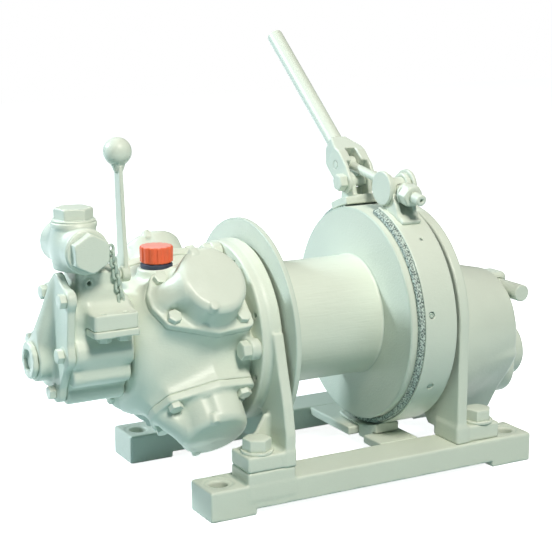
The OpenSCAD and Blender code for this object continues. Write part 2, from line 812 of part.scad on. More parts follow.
// The anchor under the band holds it against turning: a block that fills the slot of the
// cross plate and a saddle against the band.
module band_anchor() {
    saddle_z = rail_h + 1;
    color(paint) difference() {
        union() {
            translate([anchor_x0, anchor_y0 - 9, saddle_z])
                cube([anchor_x1 - anchor_x0, anchor_y1 - anchor_y0 + 60, 30]);
            translate([anchor_x0, anchor_y0 + 1.5, rail_h - cross_t - 3])
                cube([anchor_x1 - anchor_x0 - 1.5, anchor_y1 - anchor_y0 - 3, cross_t + 6]);
        }
        disc_x(0, 160, band_r1 + seat);
    }
}

cheek_gap = 21;
cheek_t = 7.5;
side_gap = 0.3;
pivot_y = pivot_back;
pivot_z = axis_z + band_r1 + pivot_over;
trunnion_y = pivot_y - 106;
trunnion_z = pivot_z + 4;
trunnion_core_r = 15;
pin_y = pivot_y + 26;
pin_z = pivot_z + 24;
rod_tilt = atan2(pin_z - trunnion_z, pin_y - trunnion_y);
pin_to_trunnion = norm([pin_z - trunnion_z, pin_y - trunnion_y]);
eye_r = 12;
ear_r = 15;
pad_r1 = band_r1 + 6;
pad_w = cheek_gap + 2 * cheek_t - 3;
front_end = gap_centre - band_open / 2 - 1;
rear_end = gap_centre + band_open / 2 + 0.5;

// A point on the side of the band, from its angle and its radius.
function on_band(a, r) = [-r * cos(a), axis_z + r * sin(a)];

module at_cheeks() {
    for (s = [-1, 1])
        translate([ear_x + s * (cheek_gap + cheek_t) / 2 - cheek_t / 2, 0, 0]) rotate([90, 0, 90])
            linear_extrude(cheek_t) children();
}

module rear_ear() {
    color(paint) difference() {
        union() {
            at_cheeks() union() {
                translate([pivot_y, pivot_z]) circle(r = ear_r);
                polygon([[pivot_y - ear_r + 1, pivot_z], on_band(rear_end, band_r1 - 11),
                         on_band(rear_end + 13.7, band_r1 - 0.2), [pivot_y + ear_r - 1, pivot_z]]);
            }
            band_strip(ear_x - pad_w / 2, pad_w, band_r1 - 5, pad_r1, rear_end, rear_end + 12.5);
        }
        disc_x(0, 160, band_r1 + seat);
        translate([0, pivot_y, pivot_z]) rotate([0, 90, 0]) cylinder(d = pivot_d + 2 * bore_gap, h = 160);
    }
}

module front_ear() {
    color(paint) difference() {
        union() {
            at_cheeks() union() {
                translate([trunnion_y, trunnion_z]) circle(r = trunnion_core_r + 6);
                polygon([[trunnion_y - 20, trunnion_z - 6], [trunnion_y - 33, trunnion_z - 26],
                         on_band(front_end - 18, band_r1 - 12), on_band(front_end + 7, band_r1 - 7),
                         [trunnion_y + 20, trunnion_z - 6]]);
            }
            band_strip(ear_x - pad_w / 2, pad_w, band_r1 - 5, pad_r1, front_end - 17, front_end);
        }
        disc_x(0, 160, band_r1 + seat);
        translate([0, trunnion_y, trunnion_z]) rotate([0, 90, 0])
            cylinder(r = trunnion_core_r + bore_gap, h = 160);
    }
}

rod_hole_gap = 0.9;
module trunnion() {
    flange_x = cheek_gap / 2 + cheek_t + side_gap;
    disc_t = 6;
    color(paint) difference() {
        translate([ear_x, trunnion_y, trunnion_z]) rotate([0, 90, 0]) union() {
            translate([0, 0, -flange_x]) cylinder(r = trunnion_core_r, h = 2 * flange_x);
            for (s = [-1, 1])
                translate([0, 0, s * (flange_x + disc_t / 2) - disc_t / 2]) cylinder(r = trunnion_r, h = disc_t);
        }
        on_rod() cylinder(d = rod_d + 2 * rod_hole_gap, h = 2 * pin_to_trunnion);
    }
}

// Along the link rod, from its pin towards the front.
module on_rod() {
    translate([ear_x, pin_y, pin_z]) rotate([90 + rod_tilt, 0, 0]) children();
}

rod_end_d = 20;
nut_t = 22;
nut_thread = 20;
sleeve_r = 9;
sleeve_len = 16;
nut_from = pin_to_trunnion + trunnion_core_r + sleeve_len + seat;
module link_rod() {
    eye_w = fork_slot - 1.5;
    color(paint) on_rod() difference() {
        union() {
            cylinder(d = rod_d, h = nut_from + nut_t + 2);
            translate([0, 0, nut_from + nut_t + seat]) cylinder(d = rod_end_d, h = 21);
            rotate([0, 90, 0]) translate([0, 0, -eye_w / 2]) cylinder(r = eye_r, h = eye_w);
        }
        rotate([0, 90, 0]) translate([0, 0, -20]) cylinder(d = link_pin_d + 2 * bore_gap, h = 40);
        translate([0, 0, nut_from + nut_t + 13]) cylinder(d = 6, h = 12, $fn = 24);
    }
}

module rod_nut() {
    color(paint) on_rod() translate([0, 0, nut_from]) difference() {
        union() {
            translate([0, 0, -sleeve_len]) cylinder(r = sleeve_r, h = sleeve_len + cut_over);
            cylinder(r = nut_thread * 0.85, h = 4);
            translate([0, 0, 3]) hex_head(nut_thread, nut_t - 3);
        }
        translate([0, 0, -sleeve_len - cut_over]) cylinder(d = rod_d + 2 * seat, h = 50);
    }
}

module on_lever() {
    translate([ear_x, pivot_y, pivot_z]) rotate([lever_rise, 0, 0]) children();
}

fork_len = 86;
wide_end = 23;
slot_end = 51;
wide_slot = cheek_gap + 2 * cheek_t + 2 * side_gap;
module fork_outline() {
    circle(r = 18);
    polygon([[-4, -17.5], [fork_len - 49, -20], [fork_len - 20, -18.5], [fork_len, -13], [fork_len, 13],
             [fork_len - 20, 19], [fork_len - 42, 26], [14, 24], [-4, 17.5]]);
}

module brake_fork() {
    color(paint) difference() {
        on_lever() translate([-fork_w / 2, 0, 0]) rotate([90, 0, 90]) linear_extrude(fork_w) fork_outline();
        on_lever() translate([-wide_slot / 2, -30, -40]) cube([wide_slot, 30 + wide_end, 80]);
        on_lever() translate([-fork_slot / 2, 0, -40]) cube([fork_slot, slot_end, 80]);
        translate([0, pin_y, pin_z]) rotate([0, 90, 0]) cylinder(d = link_pin_d + 2 * seat, h = 160);
        translate([0, pivot_y, pivot_z]) rotate([0, 90, 0]) cylinder(d = pivot_d + 2 * seat, h = 160);
        for (s = [-1, 1])
            on_lever() translate([s * fork_w / 2, fork_len - 30, -40]) rotate([0, 0, s * 20])
                translate([s > 0 ? 0 : -20, 0, 0]) cube([20, 60, 80]);
    }
}

module brake_lever() {
    color(paint) on_lever() translate([0, fork_len + seat, 0]) rotate([-90, 0, 0]) {
        cylinder(d = lever_d, h = lever_len - fork_len - 2);
        translate([0, 0, lever_len - fork_len - 2]) cylinder(d1 = lever_d, d2 = lever_d - 3, h = 2);
    }
}

module pivot_bolt() {
    color(paint) translate([ear_x, pivot_y, pivot_z]) rotate([0, 90, 0]) {
        translate([0, 0, -fork_w / 2 - seat]) rotate([180, 0, 0]) hex_head(pivot_d, 12);
        translate([0, 0, -fork_w / 2 - 1]) cylinder(d = pivot_d, h = fork_w + 14);
        translate([0, 0, fork_w / 2 + seat]) hex_head(pivot_d, 10);
    }
}

module link_pin() {
    color(paint) translate([ear_x - fork_w / 2, pin_y, pin_z]) rotate([0, 90, 0])
        cylinder(d = link_pin_d, h = fork_w);
}

gear_z = axis_z - gear_drop;
gear_x0 = plate_x1 + seat;
gear_x1 = plate_x1 + gear_len;
// The gear case tapers away from the frame; its underside runs down to a narrow sump.
module gear_case() {
    color(paint) union() {
        cone_x(gear_x0, gear_x1, gear_r1, gear_r2, 0, gear_z);
        along_x(gear_x0) linear_extrude(gear_x1 - gear_x0)
            polygon([[-85, gear_z - 32.5], [-20, gear_z - 135.5], [20, gear_z - 135.5], [85, gear_z - 32.5]]);
    }
}

// Centre, radius and length of each boss on the end cover.
upper_boss = [0, gear_z - 46.5, 45, 52];
lower_boss = [0, gear_z - 67.5, 49, 31];
module gear_end_cover() {
    color(paint) difference() {
        union() {
            for (b = [upper_boss, lower_boss]) {
                disc_x(gear_x1 + seat, gear_x1 + b[3] - 5, b[2], b[0], b[1]);
                cone_x(gear_x1 + b[3] - 5, gear_x1 + b[3], b[2], b[2] - 5, b[0], b[1]);
            }
            disc_x(gear_x1 + seat, gear_x1 + 12, 74, 0, gear_z);
            translate([gear_x1 + seat, -22, gear_z]) cube([30, 44, 88]);
        }
        translate([clutch_x, clutch_y1 + 40, clutch_z]) rotate([90, 0, 0]) cylinder(d = clutch_d + 2 * seat, h = 250);
    }
}

clutch_d = 27;
clutch_x = gear_x1 + 14.5;
clutch_z = gear_z + 64;
clutch_y0 = -80;
clutch_y1 = 70;
module clutch_bar() {
    color(paint) translate([clutch_x, clutch_y1, clutch_z]) rotate([90, 0, 0]) {
        cylinder(d = clutch_d, h = clutch_y1 - clutch_y0 - 1.5);
        translate([0, 0, clutch_y1 - clutch_y0 - 1.5]) cylinder(d1 = clutch_d, d2 = clutch_d - 3, h = 1.5);
    }
}

rail_front();
rail_back();
cross_plate();
motor_frame();
gear_frame();
foot_bolts();
crankcase();
cylinder_head_1();
cylinder_head_2();
cylinder_head_3();
cylinder_head_4();
head_bolts();
motor_mount_bolts();
valve_chest();
valve_end_cover();
end_cover_bolts();
end_plug();
exhaust_plate();
exhaust_bolts();
throttle_valve();
top_plug();
front_plug();
breather_cap();
breather_ring();
throttle_stem();
throttle_lever();
throttle_knob();
keeper_chain();
rope_barrel();
drum_flange();
brake_drum();
drum_shaft();
brake_lining();
brake_band();
band_anchor();
rear_ear();
front_ear();
trunnion();
brake_fork();
brake_lever();
pivot_bolt();
link_pin();
link_rod();
rod_nut();
gear_case();
gear_end_cover();
clutch_bar();
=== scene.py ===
"""Looks of a four-cylinder air winch: painted castings, rope drum, band brake and studio stage,
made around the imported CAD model. Lengths in the shape functions are millimetres, as in the CAD."""

import json
import math

import bpy
import numpy as np
from bpy.props import FloatProperty, FloatVectorProperty, IntProperty, PointerProperty
from mathutils import Matrix, Quaternion, Vector


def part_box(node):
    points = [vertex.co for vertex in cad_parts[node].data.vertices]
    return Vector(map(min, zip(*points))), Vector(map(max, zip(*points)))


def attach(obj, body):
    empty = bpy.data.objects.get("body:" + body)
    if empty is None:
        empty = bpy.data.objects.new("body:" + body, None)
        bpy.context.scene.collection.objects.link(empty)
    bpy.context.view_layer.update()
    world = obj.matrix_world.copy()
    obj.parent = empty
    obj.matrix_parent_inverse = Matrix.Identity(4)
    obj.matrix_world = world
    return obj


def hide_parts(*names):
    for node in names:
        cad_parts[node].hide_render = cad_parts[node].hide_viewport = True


bl_info = {
    "name": "Air winch looks",
    "version": (1, 0, 0),
    "blender": (4, 5, 0),
    "location": "View3D > Sidebar > Winch",
    "description": "Painted castings, rope drum, band brake and stage of an air winch around its CAD frame",
    "category": "Object",
}

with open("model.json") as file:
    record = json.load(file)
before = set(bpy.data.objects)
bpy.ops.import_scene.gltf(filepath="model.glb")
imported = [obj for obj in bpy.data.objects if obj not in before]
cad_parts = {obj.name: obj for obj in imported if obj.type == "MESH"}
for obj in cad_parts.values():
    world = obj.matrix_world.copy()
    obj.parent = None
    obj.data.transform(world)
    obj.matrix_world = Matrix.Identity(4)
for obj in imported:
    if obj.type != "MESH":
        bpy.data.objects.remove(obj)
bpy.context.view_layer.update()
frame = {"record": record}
BODY_OF = {n: b for b, nodes in frame["record"]["behaviour"]["bodies"].items() for n in nodes}

MM = 0.001
AXIS_Z = 224.5
MOTOR_Z = 218.5
GEAR_Z = 177.5
FRAME_X0 = -173.0
FRAME_X1 = -142.0
CASE_X0 = -343.0
CHEST_X0 = -431.0
COVER_X0 = -443.0
PLATE_X0 = 147.0
PLATE_X1 = 159.0
GEAR_X1 = 309.0
RAIL_H = 44.4
SEAT_Z = 62.0
RAIL_Y = 140.0
EAR_X = 100.5
BAND_R = 176.0
HEAD_ANGLES = (45, -45, -135, 135)
HEAD_X = -244.0
HEAD_Z = 119.0
HEAD_CORNERS = ((-53, -32), (49, -44), (49, 44), (-53, 32))
HEAD_RIM = ((-68, -9), (-56, -33), (8, -54), (54, -50), (54, 50), (8, 54), (-56, 33), (-68, 9))
CAP_X = 6.0
PIVOT = (EAR_X, 60.0, 420.0)
LINK_PIN = (EAR_X, 86.0, 444.0)
TRUNNION = (EAR_X, -46.0, 424.0)
LEVER_RISE = 38.6
VALVE = (-412.0, -40.0, 380.0)
BREATHER = (-278.0, -10.0, 332.5)
BREATHER_BASE = 7.1
BOLT_RING = 119.0
MOUNT_SEAT = FRAME_X0 - 16
MOTOR_FOOT_Z = 84.5
GEAR_FOOT_Z = 69.0
HEAD_PAD = 10
FLANGE_Z = 107.0
LOW_BOLT = (5, 146)
CHEST_X1 = CASE_X0 - 0.2
TAP = (VALVE[0] + 6, 335)
PORT_Y = 96.0
THROTTLE = (-341.0, -28.0, 332.0)
THROTTLE_LEAN = -5.0
KNOB_OUT = 170.0
KNOB_R = 20.0
CLUTCH = (323.5, 241.5)
LINING_X = (66.0, 130.0)
LINING_R = 165.6
LINING_THICK = 7.4
CLAMP_IN = 8.0
RIVETS = ((101.8, 48), (85.2, 9.4), (98.4, -29.1), (101.8, -68), (85.2, -107), (98.4, -146),
          (101.8, -185), (85.2, -224))
CAMERA_PLACE = (-1.0971, -1.8565, 0.7495)
CAMERA_BACK = (-0.4703, -0.8574, 0.2091)
WHITE = (1.0, 1.0, 1.0)


class WinchPaint(bpy.types.PropertyGroup):
    """Colours and surface of the finishes."""

    paint: FloatVectorProperty(
        name="Paint", description="Colour of the pale grey-green enamel", subtype="COLOR",
        size=3, min=0, max=1, default=(0.68, 0.735, 0.635))
    # Painted shade: the colour that corners and creases take in place of the shade that falls there.
    shade: FloatVectorProperty(
        name="Painted corner shade", description="Colour of the enamel in corners, where it lies thick",
        subtype="COLOR", size=3, min=0, max=1, default=(0.400, 0.510, 0.440))
    lining: FloatVectorProperty(
        name="Lining", description="Colour of the painted fibres of the brake lining",
        subtype="COLOR", size=3, min=0, max=1, default=(0.62, 0.72, 0.66))
    gaps: FloatVectorProperty(
        name="Lining gaps", description="Colour between the fibres of the brake lining",
        subtype="COLOR", size=3, min=0, max=1, default=(0.115, 0.155, 0.145))
    cap: FloatVectorProperty(
        name="Cap", description="Colour of the plastic breather cap", subtype="COLOR",
        size=3, min=0, max=1, default=(0.86, 0.145, 0.055))
    seal: FloatVectorProperty(
        name="Seal", description="Colour of the ring under the cap", subtype="COLOR",
        size=3, min=0, max=1, default=(0.022, 0.030, 0.050))
    gloss: FloatProperty(
        name="Enamel roughness", description="Roughness of the enamel, before its variation",
        subtype="FACTOR", min=0.05, max=1, default=0.36)
    brush: FloatProperty(
        name="Brush marks", description="Height of the brush marks in the enamel",
        unit="LENGTH", min=0, max=0.002, default=0.00035, precision=5)


class WinchCasting(bpy.types.PropertyGroup):
    """Form of the cast and welded pieces, in millimetres."""

    fillet: FloatProperty(
        name="Fillet", description="Reach of the fillet between two cast forms, in millimetres",
        min=1, max=30, default=12)
    edge: FloatProperty(
        name="Edge", description="Radius of a paint-filled outer edge, in millimetres",
        min=0.5, max=6, default=2.6)
    wave: FloatProperty(
        name="Casting waves", description="Unevenness of a sand casting, in millimetres",
        min=0, max=2, default=0.3)
    step: FloatProperty(
        name="Mesh step", description="Distance between mesh points on a casting, in millimetres",
        min=1, max=8, default=2.2)


class WinchStage(bpy.types.PropertyGroup):
    """Floor, lamps and camera."""

    lens: FloatProperty(
        name="Lens", description="Focal length on a 36 mm sensor", unit="CAMERA", min=20, max=300,
        default=94.24)
    roll: FloatProperty(
        name="Roll", description="Turn of the camera about its line of sight", subtype="ANGLE",
        min=-0.2, max=0.2, default=math.radians(-0.1))
    key: FloatProperty(
        name="Key lamp", description="Power of the cool lamp behind on the left", unit="POWER",
        min=0, max=1000, default=84)
    fill: FloatProperty(
        name="Front lamp", description="Power of the warm lamp at the front", unit="POWER",
        min=0, max=1000, default=118)
    top: FloatProperty(
        name="Top lamp", description="Power of the large lamp above", unit="POWER", min=0,
        max=1000, default=10)
    sky: FloatProperty(
        name="Room light", description="Strength of the even light from all round", min=0, max=3,
        default=0.13)
    rows: IntProperty(
        name="Arc points", description="Points round a full turned piece", min=24, max=512,
        default=160)


# Shapes: distances to solids, worked out on whole arrays of points


def rounded(a, b, r):
    """Distance to the overlap of two solids whose common edge is rounded by r: both are drawn in
    by r, then the length of what lies outside them, less r."""
    a, b = a + r, b + r
    return np.hypot(np.maximum(a, 0), np.maximum(b, 0)) + np.minimum(np.maximum(a, b), 0) - r


def merge(a, b, k):
    """The smaller of two distances, lowered where they differ by less than k, which fills the
    corner between the solids with a fillet."""
    h = np.maximum(k - np.abs(a - b), 0) / k
    return np.minimum(a, b) - h * h * k / 4


def merged(k, *parts):
    """Several solids joined with fillets of reach k."""
    whole = parts[0]
    for part in parts[1:]:
        whole = merge(whole, part, k)
    return whole


def cut(a, b, k=2.0):
    """Solid a without solid b, with the new edge rounded over k: the larger of a and minus b,
    raised where they differ by less than k."""
    return -merge(-a, b, k)


def span(v, low, high):
    """Distance to the slab between two planes: how far v is from its middle, less its half."""
    return np.abs(v - (low + high) / 2) - (high - low) / 2


def disc(u, v, u0, v0, r):
    """Distance to a disc in the plane: distance to its centre less its radius."""
    return np.hypot(u - u0, v - v0) - r


def slab_rect(u, v, low, high, r):
    """Distance to a rectangle with corners rounded by r."""
    return rounded(span(u, low[0], high[0]), span(v, low[1], high[1]), r)


def outline(u, v, points):
    """Signed distance to a closed outline: the least distance to its edges, taken as negative
    where a ray along u crosses the edges an odd number of times."""
    points = np.asarray(points, float)
    best, side = np.inf, 1.0
    for a, b in zip(points, np.roll(points, -1, axis=0)):
        e = b - a
        w0, w1 = u - a[0], v - a[1]
        t = np.clip((w0 * e[0] + w1 * e[1]) / (e @ e), 0, 1)
        best = np.minimum(best, np.hypot(w0 - e[0] * t, w1 - e[1] * t))
        if e[1] != 0:
            crosses = (v >= min(a[1], b[1])) & (v < max(a[1], b[1])) & (w0 < w1 * e[0] / e[1])
            side = np.where(crosses, -side, side)
    return best * side


def bar_x(p, x0, x1, r0, y=0.0, z=AXIS_Z, r1=None, edge=2.6):
    """A round bar along X whose radius runs from r0 to r1: its distance across, corrected for
    the taper, and its distance along, with rounded rims."""
    r1 = r0 if r1 is None else r1
    t = np.clip((p[0] - x0) / (x1 - x0), 0, 1)
    across = np.hypot(p[1] - y, p[2] - z) - r0 - (r1 - r0) * t
    across = across / math.hypot(1, (r1 - r0) / (x1 - x0))
    return rounded(across, span(p[0], x0, x1), edge)


def block(p, low, high, edge=2.6):
    """A block with rounded edges: the three slabs, rounded where they meet."""
    flat = rounded(span(p[0], low[0], high[0]), span(p[1], low[1], high[1]), edge)
    return rounded(flat, span(p[2], low[2], high[2]), edge)


def seen_from(p, origin, x_axis, y_axis, z_axis):
    """The points as a local frame has them: their offset from its origin along its three axes."""
    d = [c - o for c, o in zip(p, origin)]
    return tuple(d[0] * a[0] + d[1] * a[1] + d[2] * a[2] for a in (x_axis, y_axis, z_axis))


def tilted(p, origin, degrees):
    """The points seen from a frame at origin, turned about X by an angle."""
    c, s = math.cos(math.radians(degrees)), math.sin(math.radians(degrees))
    return seen_from(p, origin, (1, 0, 0), (0, c, s), (0, -s, c))


def waves(p, size):
    """Unevenness of a sand casting: three crossed waves of about 60 mm, bent by one another."""
    x, y, z = p
    return size / 3 * (np.sin(x / 9 + 2 * np.sin(y / 13)) + np.sin(y / 8 + 2 * np.sin(z / 11))
                       + np.sin(z / 10 + 2 * np.sin(x / 12)))


CORNERS = np.array([(i, j, k) for i in (0, 1) for j in (0, 1) for k in (0, 1)])
EDGES = [(a, b) for a in range(8) for b in range(a + 1, 8) if np.abs(CORNERS[a] - CORNERS[b]).sum() == 1]


def skin(field, low, high, step):
    """Points and four-sided faces of the surface where a field of distances is zero. The field
    is sampled on a grid; each cell that the surface crosses gets one point, at the mean of the
    crossings on its edges, and each grid edge that it crosses gets one face. The points are then
    moved along the field's slope by their own distance, which puts them on the surface."""
    axes = [np.arange(a - 2 * step, b + 3 * step, step) for a, b in zip(low, high)]
    shape = tuple(len(a) for a in axes)
    f = np.broadcast_to(field(tuple(np.meshgrid(*axes, indexing="ij", sparse=True))), shape)
    f = np.where(f == 0, 1e-6, f)
    inside = f < 0
    size = np.array(shape) - 1
    count = sum(inside[tuple(slice(i, i + n) for i, n in zip(c, size))].astype(np.int8) for c in CORNERS)
    active = (count > 0) & (count < 8)
    number = np.full(active.shape, -1)
    number[active] = np.arange(active.sum())
    cells = np.argwhere(active)
    at_corner = [f[tuple((cells + c).T)] for c in CORNERS]
    total, weight = np.zeros(cells.shape), np.zeros(len(cells))
    for a, b in EDGES:
        crosses = (at_corner[a] < 0) != (at_corner[b] < 0)
        t = np.where(crosses, at_corner[a] / np.where(crosses, at_corner[a] - at_corner[b], 1), 0)
        total += crosses[:, None] * (CORNERS[a] + t[:, None] * (CORNERS[b] - CORNERS[a]))
        weight += crosses
    points = np.array([a[0] for a in axes]) + (cells + total / weight[:, None]) * step
    points = settle(field, points, step)
    faces = []
    for k in range(3):
        one, two = [np.eye(3, dtype=int)[(k + n) % 3] for n in (1, 2)]
        along = np.eye(3, dtype=int)[k]
        start = [slice(1 - along[n], shape[n] - 1) for n in range(3)]
        first = inside[tuple(start)]
        second = inside[tuple(slice(s.start + along[n], s.stop + along[n]) for n, s in enumerate(start))]
        where = np.argwhere(first != second) + (1 - along)
        ring = np.stack([number[tuple((where - q).T)] for q in (one + two, two, 0 * one, one)], 1)
        out = first[tuple((where - (1 - along)).T)]
        faces.append(np.where(out[:, None], ring, ring[:, ::-1]))
    return points, np.concatenate(faces)


def settle(field, points, step, rounds=3):
    """Moves points onto a field's zero surface: each goes against the slope by distance over
    slope, the slope being measured a tenth of a step to each side."""
    h = 0.1 * step
    for _ in range(rounds):
        value = field(tuple(points.T))
        slope = np.stack([field(tuple((points + h * e).T)) - field(tuple((points - h * e).T))
                          for e in np.eye(3)], 1) / (2 * h)
        move = value[:, None] * slope / np.maximum((slope ** 2).sum(1), 0.05)[:, None]
        points = points - np.clip(move, -step / 2, step / 2)
    return points


def grid_faces(rows, cols, close_rows=False, close_cols=True):
    """Faces of a grid of points numbered row by row, joined round where it closes."""
    r = np.arange(rows if close_rows else rows - 1)[:, None]
    c = np.arange(cols if close_cols else cols - 1)[None]
    r1, c1 = (r + 1) % rows, (c + 1) % cols
    return np.stack([r * cols + c, r * cols + c1, r1 * cols + c1, r1 * cols + c], -1).reshape(-1, 4)


def round_path(points, r, steps=4, closed=False):
    """A line of straight runs with its corners rounded: each corner becomes a curve from a point
    r before it to a point r after it, pulled towards the corner."""
    p = np.asarray(points, float)
    before, after = np.roll(p, 1, axis=0) - p, np.roll(p, -1, axis=0) - p

    def near(d):
        length = np.linalg.norm(d, axis=1)
        return d * (np.minimum(r, 0.45 * length) / length)[:, None]

    t = np.linspace(0, 1, steps)[None, :, None]
    a, b = (p + near(before))[:, None], (p + near(after))[:, None]
    curve = (1 - t) ** 2 * a + 2 * t * (1 - t) * p[:, None] + t ** 2 * b
    if closed:
        return curve.reshape(-1, p.shape[1])
    return np.concatenate([p[:1], curve[1:-1].reshape(-1, p.shape[1]), p[-1:]])


def braced(path, closed=False, near=1.2):
    """A path with one more point just inside each end of its long runs, which stay plane when
    they are shaded smooth: the point is the end moved along its run."""
    step = np.roll(path, -1, axis=0) - path
    length = np.maximum(np.linalg.norm(step, axis=1), 1e-9)[:, None]
    long = length[:, 0] > 5 * near
    long[-1] &= closed
    points = np.stack([path, path + step * near / length, path + step * (1 - near / length)], 1)
    return points[np.stack([np.ones_like(long), long, long], 1)]


def turned(profile, centre, count, closed=True):
    """A profile of (along, radius) turned about a line along X through centre: each point goes
    round a circle of its radius."""
    profile = braced(profile, closed)
    a = np.linspace(0, 2 * math.pi, count, endpoint=False)[None]
    x, r = profile[:, :1], profile[:, 1:]
    points = np.stack([x + 0 * a, centre[0] + r * np.cos(a), centre[1] + r * np.sin(a)], -1)
    return points.reshape(-1, 3), grid_faces(len(profile), count, close_rows=closed)


def placed(points, origin, matrix):
    """Points turned by a matrix and moved to an origin."""
    return points @ np.asarray(matrix, float).T + np.asarray(origin, float)


def frame_along(z_axis, up=(1.0, 0.0, 0.0)):
    """A matrix whose third column is an axis and whose first lies as near as can be to up, or to
    Z where up runs along the axis."""
    z = np.asarray(z_axis, float) / np.linalg.norm(z_axis)
    x = np.asarray(up, float) - np.dot(up, z) * z
    if np.linalg.norm(x) < 1e-6:
        x = np.array((0.0, 0.0, 1.0))
    x /= np.linalg.norm(x)
    return np.stack([x, np.cross(z, x), z], 1)


def stacked(shapes):
    """Several sets of points and faces as one, each set's faces numbered on from the last."""
    offset = np.cumsum([0] + [len(p) for p, _ in shapes])
    faces = [f + o for (_, f), o in zip(shapes, offset)]
    return np.concatenate([p for p, _ in shapes]), np.concatenate(faces)


def hexagon(angle, flat, corner):
    """Radius of a hexagon with clipped corners in a direction: flat over the cosine of the angle
    from the nearest flat's middle, at most corner."""
    off = np.mod(angle, math.pi / 3) - math.pi / 6
    return np.minimum(flat / np.cos(off), corner)


def hex_head(thread, height, turn=0.0):
    """A hexagon head standing on Z = 0: rows of a hexagon, drawn in near the top by the chamfer
    and rounded over to the flat top, which closes in rings towards the middle. Its points lie
    close together at the corners, which keeps the flats plane."""
    flat = 0.75 * thread
    top = 0.16 * height
    z = np.array([0, 0.02, 0.3, 0.6, 0.8, 0.9, 0.96, 1.0, 1.0, 1.0, 1.0]) * height
    limit = np.array([1.2, 1.2, 1.2, 1.2, 1.2, 1.15, 1.1, 1.04, 0.6, 0.25, 0.02]) * flat
    inset = np.array([0.012, 0, 0, 0, 0, 0.004, 0.014, 0.045, 0.4, 0.75, 0.98])
    z[7:] += top * 0.12 * np.array([0, 0.6, 0.95, 1.0])
    a = np.radians(np.add.outer(60 * np.arange(6), (0, 0.9, 5, 20, 40, 55, 59.1))).ravel()[None]
    r = np.minimum(hexagon(a, flat, 1.145 * flat) * (1 - inset[:, None]), limit[:, None])
    points = np.stack([r * np.cos(a + turn), r * np.sin(a + turn), z[:, None] + 0 * a], -1)
    return closed_ends(points.reshape(-1, 3), len(z), a.size)


def closed_ends(points, rows, count):
    """A turned grid closed by a fan at its first and last row, to the mean of each."""
    last = (rows - 1) * count
    ends = np.stack([points[:count].mean(0), points[last:].mean(0)])
    c = np.arange(count)
    c1 = (c + 1) % count
    first, second = len(points), len(points) + 1
    fan = np.concatenate([np.stack([c1, c, c * 0 + first, c * 0 + first], 1),
                          np.stack([last + c, last + c1, c * 0 + second, c * 0 + second], 1)])
    return np.concatenate([points, ends]), np.concatenate([grid_faces(rows, count), fan])


def round_stack(profile, count=48):
    """A profile of (radius, height) turned about Z and closed at both ends."""
    p = braced(np.asarray(profile, float))
    a = np.linspace(0, 2 * math.pi, count, endpoint=False)[None]
    points = np.stack([p[:, :1] * np.cos(a), p[:, :1] * np.sin(a), p[:, 1:] + 0 * a], -1)
    return closed_ends(points.reshape(-1, 3), len(p), count)


def bolt(thread, height, origin, axis, shank=4.0, washer=None, turn=0.0):
    """A hexagon head on its shank, with a washer where one is given, set on a seat."""
    shapes = []
    base = 0.0
    if washer:
        ring = round_path([(0.1, 0), (washer[0], 0), (washer[0], washer[1]), (0.1, washer[1])], 1.0)
        shapes.append(round_stack(ring, 64))
        base = washer[1]
    points, faces = hex_head(thread, height, turn=turn)
    shapes.append((points + (0, 0, base), faces))
    stem = [(thread / 2, -shank), (thread / 2, base + height / 2)]
    shapes.append(round_stack(stem, 24))
    points, faces = stacked(shapes)
    return placed(points, origin, frame_along(axis)), faces


# Pieces: meshes that stand for CAD nodes


def make_piece(name, points, faces, finish, nodes, slot="green_paint"):
    """A smooth mesh from millimetre points, with its finish, which rides on its nodes' body and
    stands for them."""
    mesh = bpy.data.meshes.new(name)
    faces = [tuple(dict.fromkeys(f)) for f in np.asarray(faces).tolist()]
    mesh.from_pydata((np.asarray(points) * MM).tolist(), [], faces)
    mesh.polygons.foreach_set("use_smooth", np.ones(len(mesh.polygons), bool))
    mesh.update()
    piece = bpy.data.objects.new(name, mesh)
    bpy.context.scene.collection.objects.link(piece)
    mesh.materials.append(finish)
    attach(piece, BODY_OF[nodes[0]])
    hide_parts(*nodes)
    return piece


def cast(name, node, field, step=None, wave=None, grow=0.0):
    """A casting: the skin of its field inside the node's box, grown where the casting stands
    proud of its node, with the waves of its mould."""
    form = bpy.context.scene.winch_casting
    step = (step or form.step) * 1
    size = form.wave if wave is None else wave
    low, high = (np.array(c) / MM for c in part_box(node))
    rough = (lambda p: field(p) + waves(p, size)) if size else field
    points, faces = skin(rough, low - grow, high + grow, step)
    return make_piece(name, points, faces, enamel("cast"), [node])


# Finishes


class Number:
    """An output socket. Python arithmetic on one that holds a number adds Math nodes."""

    def __init__(self, shader, socket):
        self.shader = shader
        self.socket = socket

    def math(self, operation, *others):
        return self.shader.add("ShaderNodeMath", {"operation": operation},
                               dict(enumerate((self, *others))))

    def __add__(self, other):
        return self.math("ADD", other)

    def __sub__(self, other):
        return self.math("SUBTRACT", other)

    def __mul__(self, other):
        return self.math("MULTIPLY", other)

    def __rsub__(self, other):
        return self.shader.add("ShaderNodeMath", {"operation": "SUBTRACT"}, {0: other, 1: self})

    __radd__ = __add__
    __rmul__ = __mul__

    def clamped(self):
        return self.shader.add("ShaderNodeClamp", {}, {0: self})


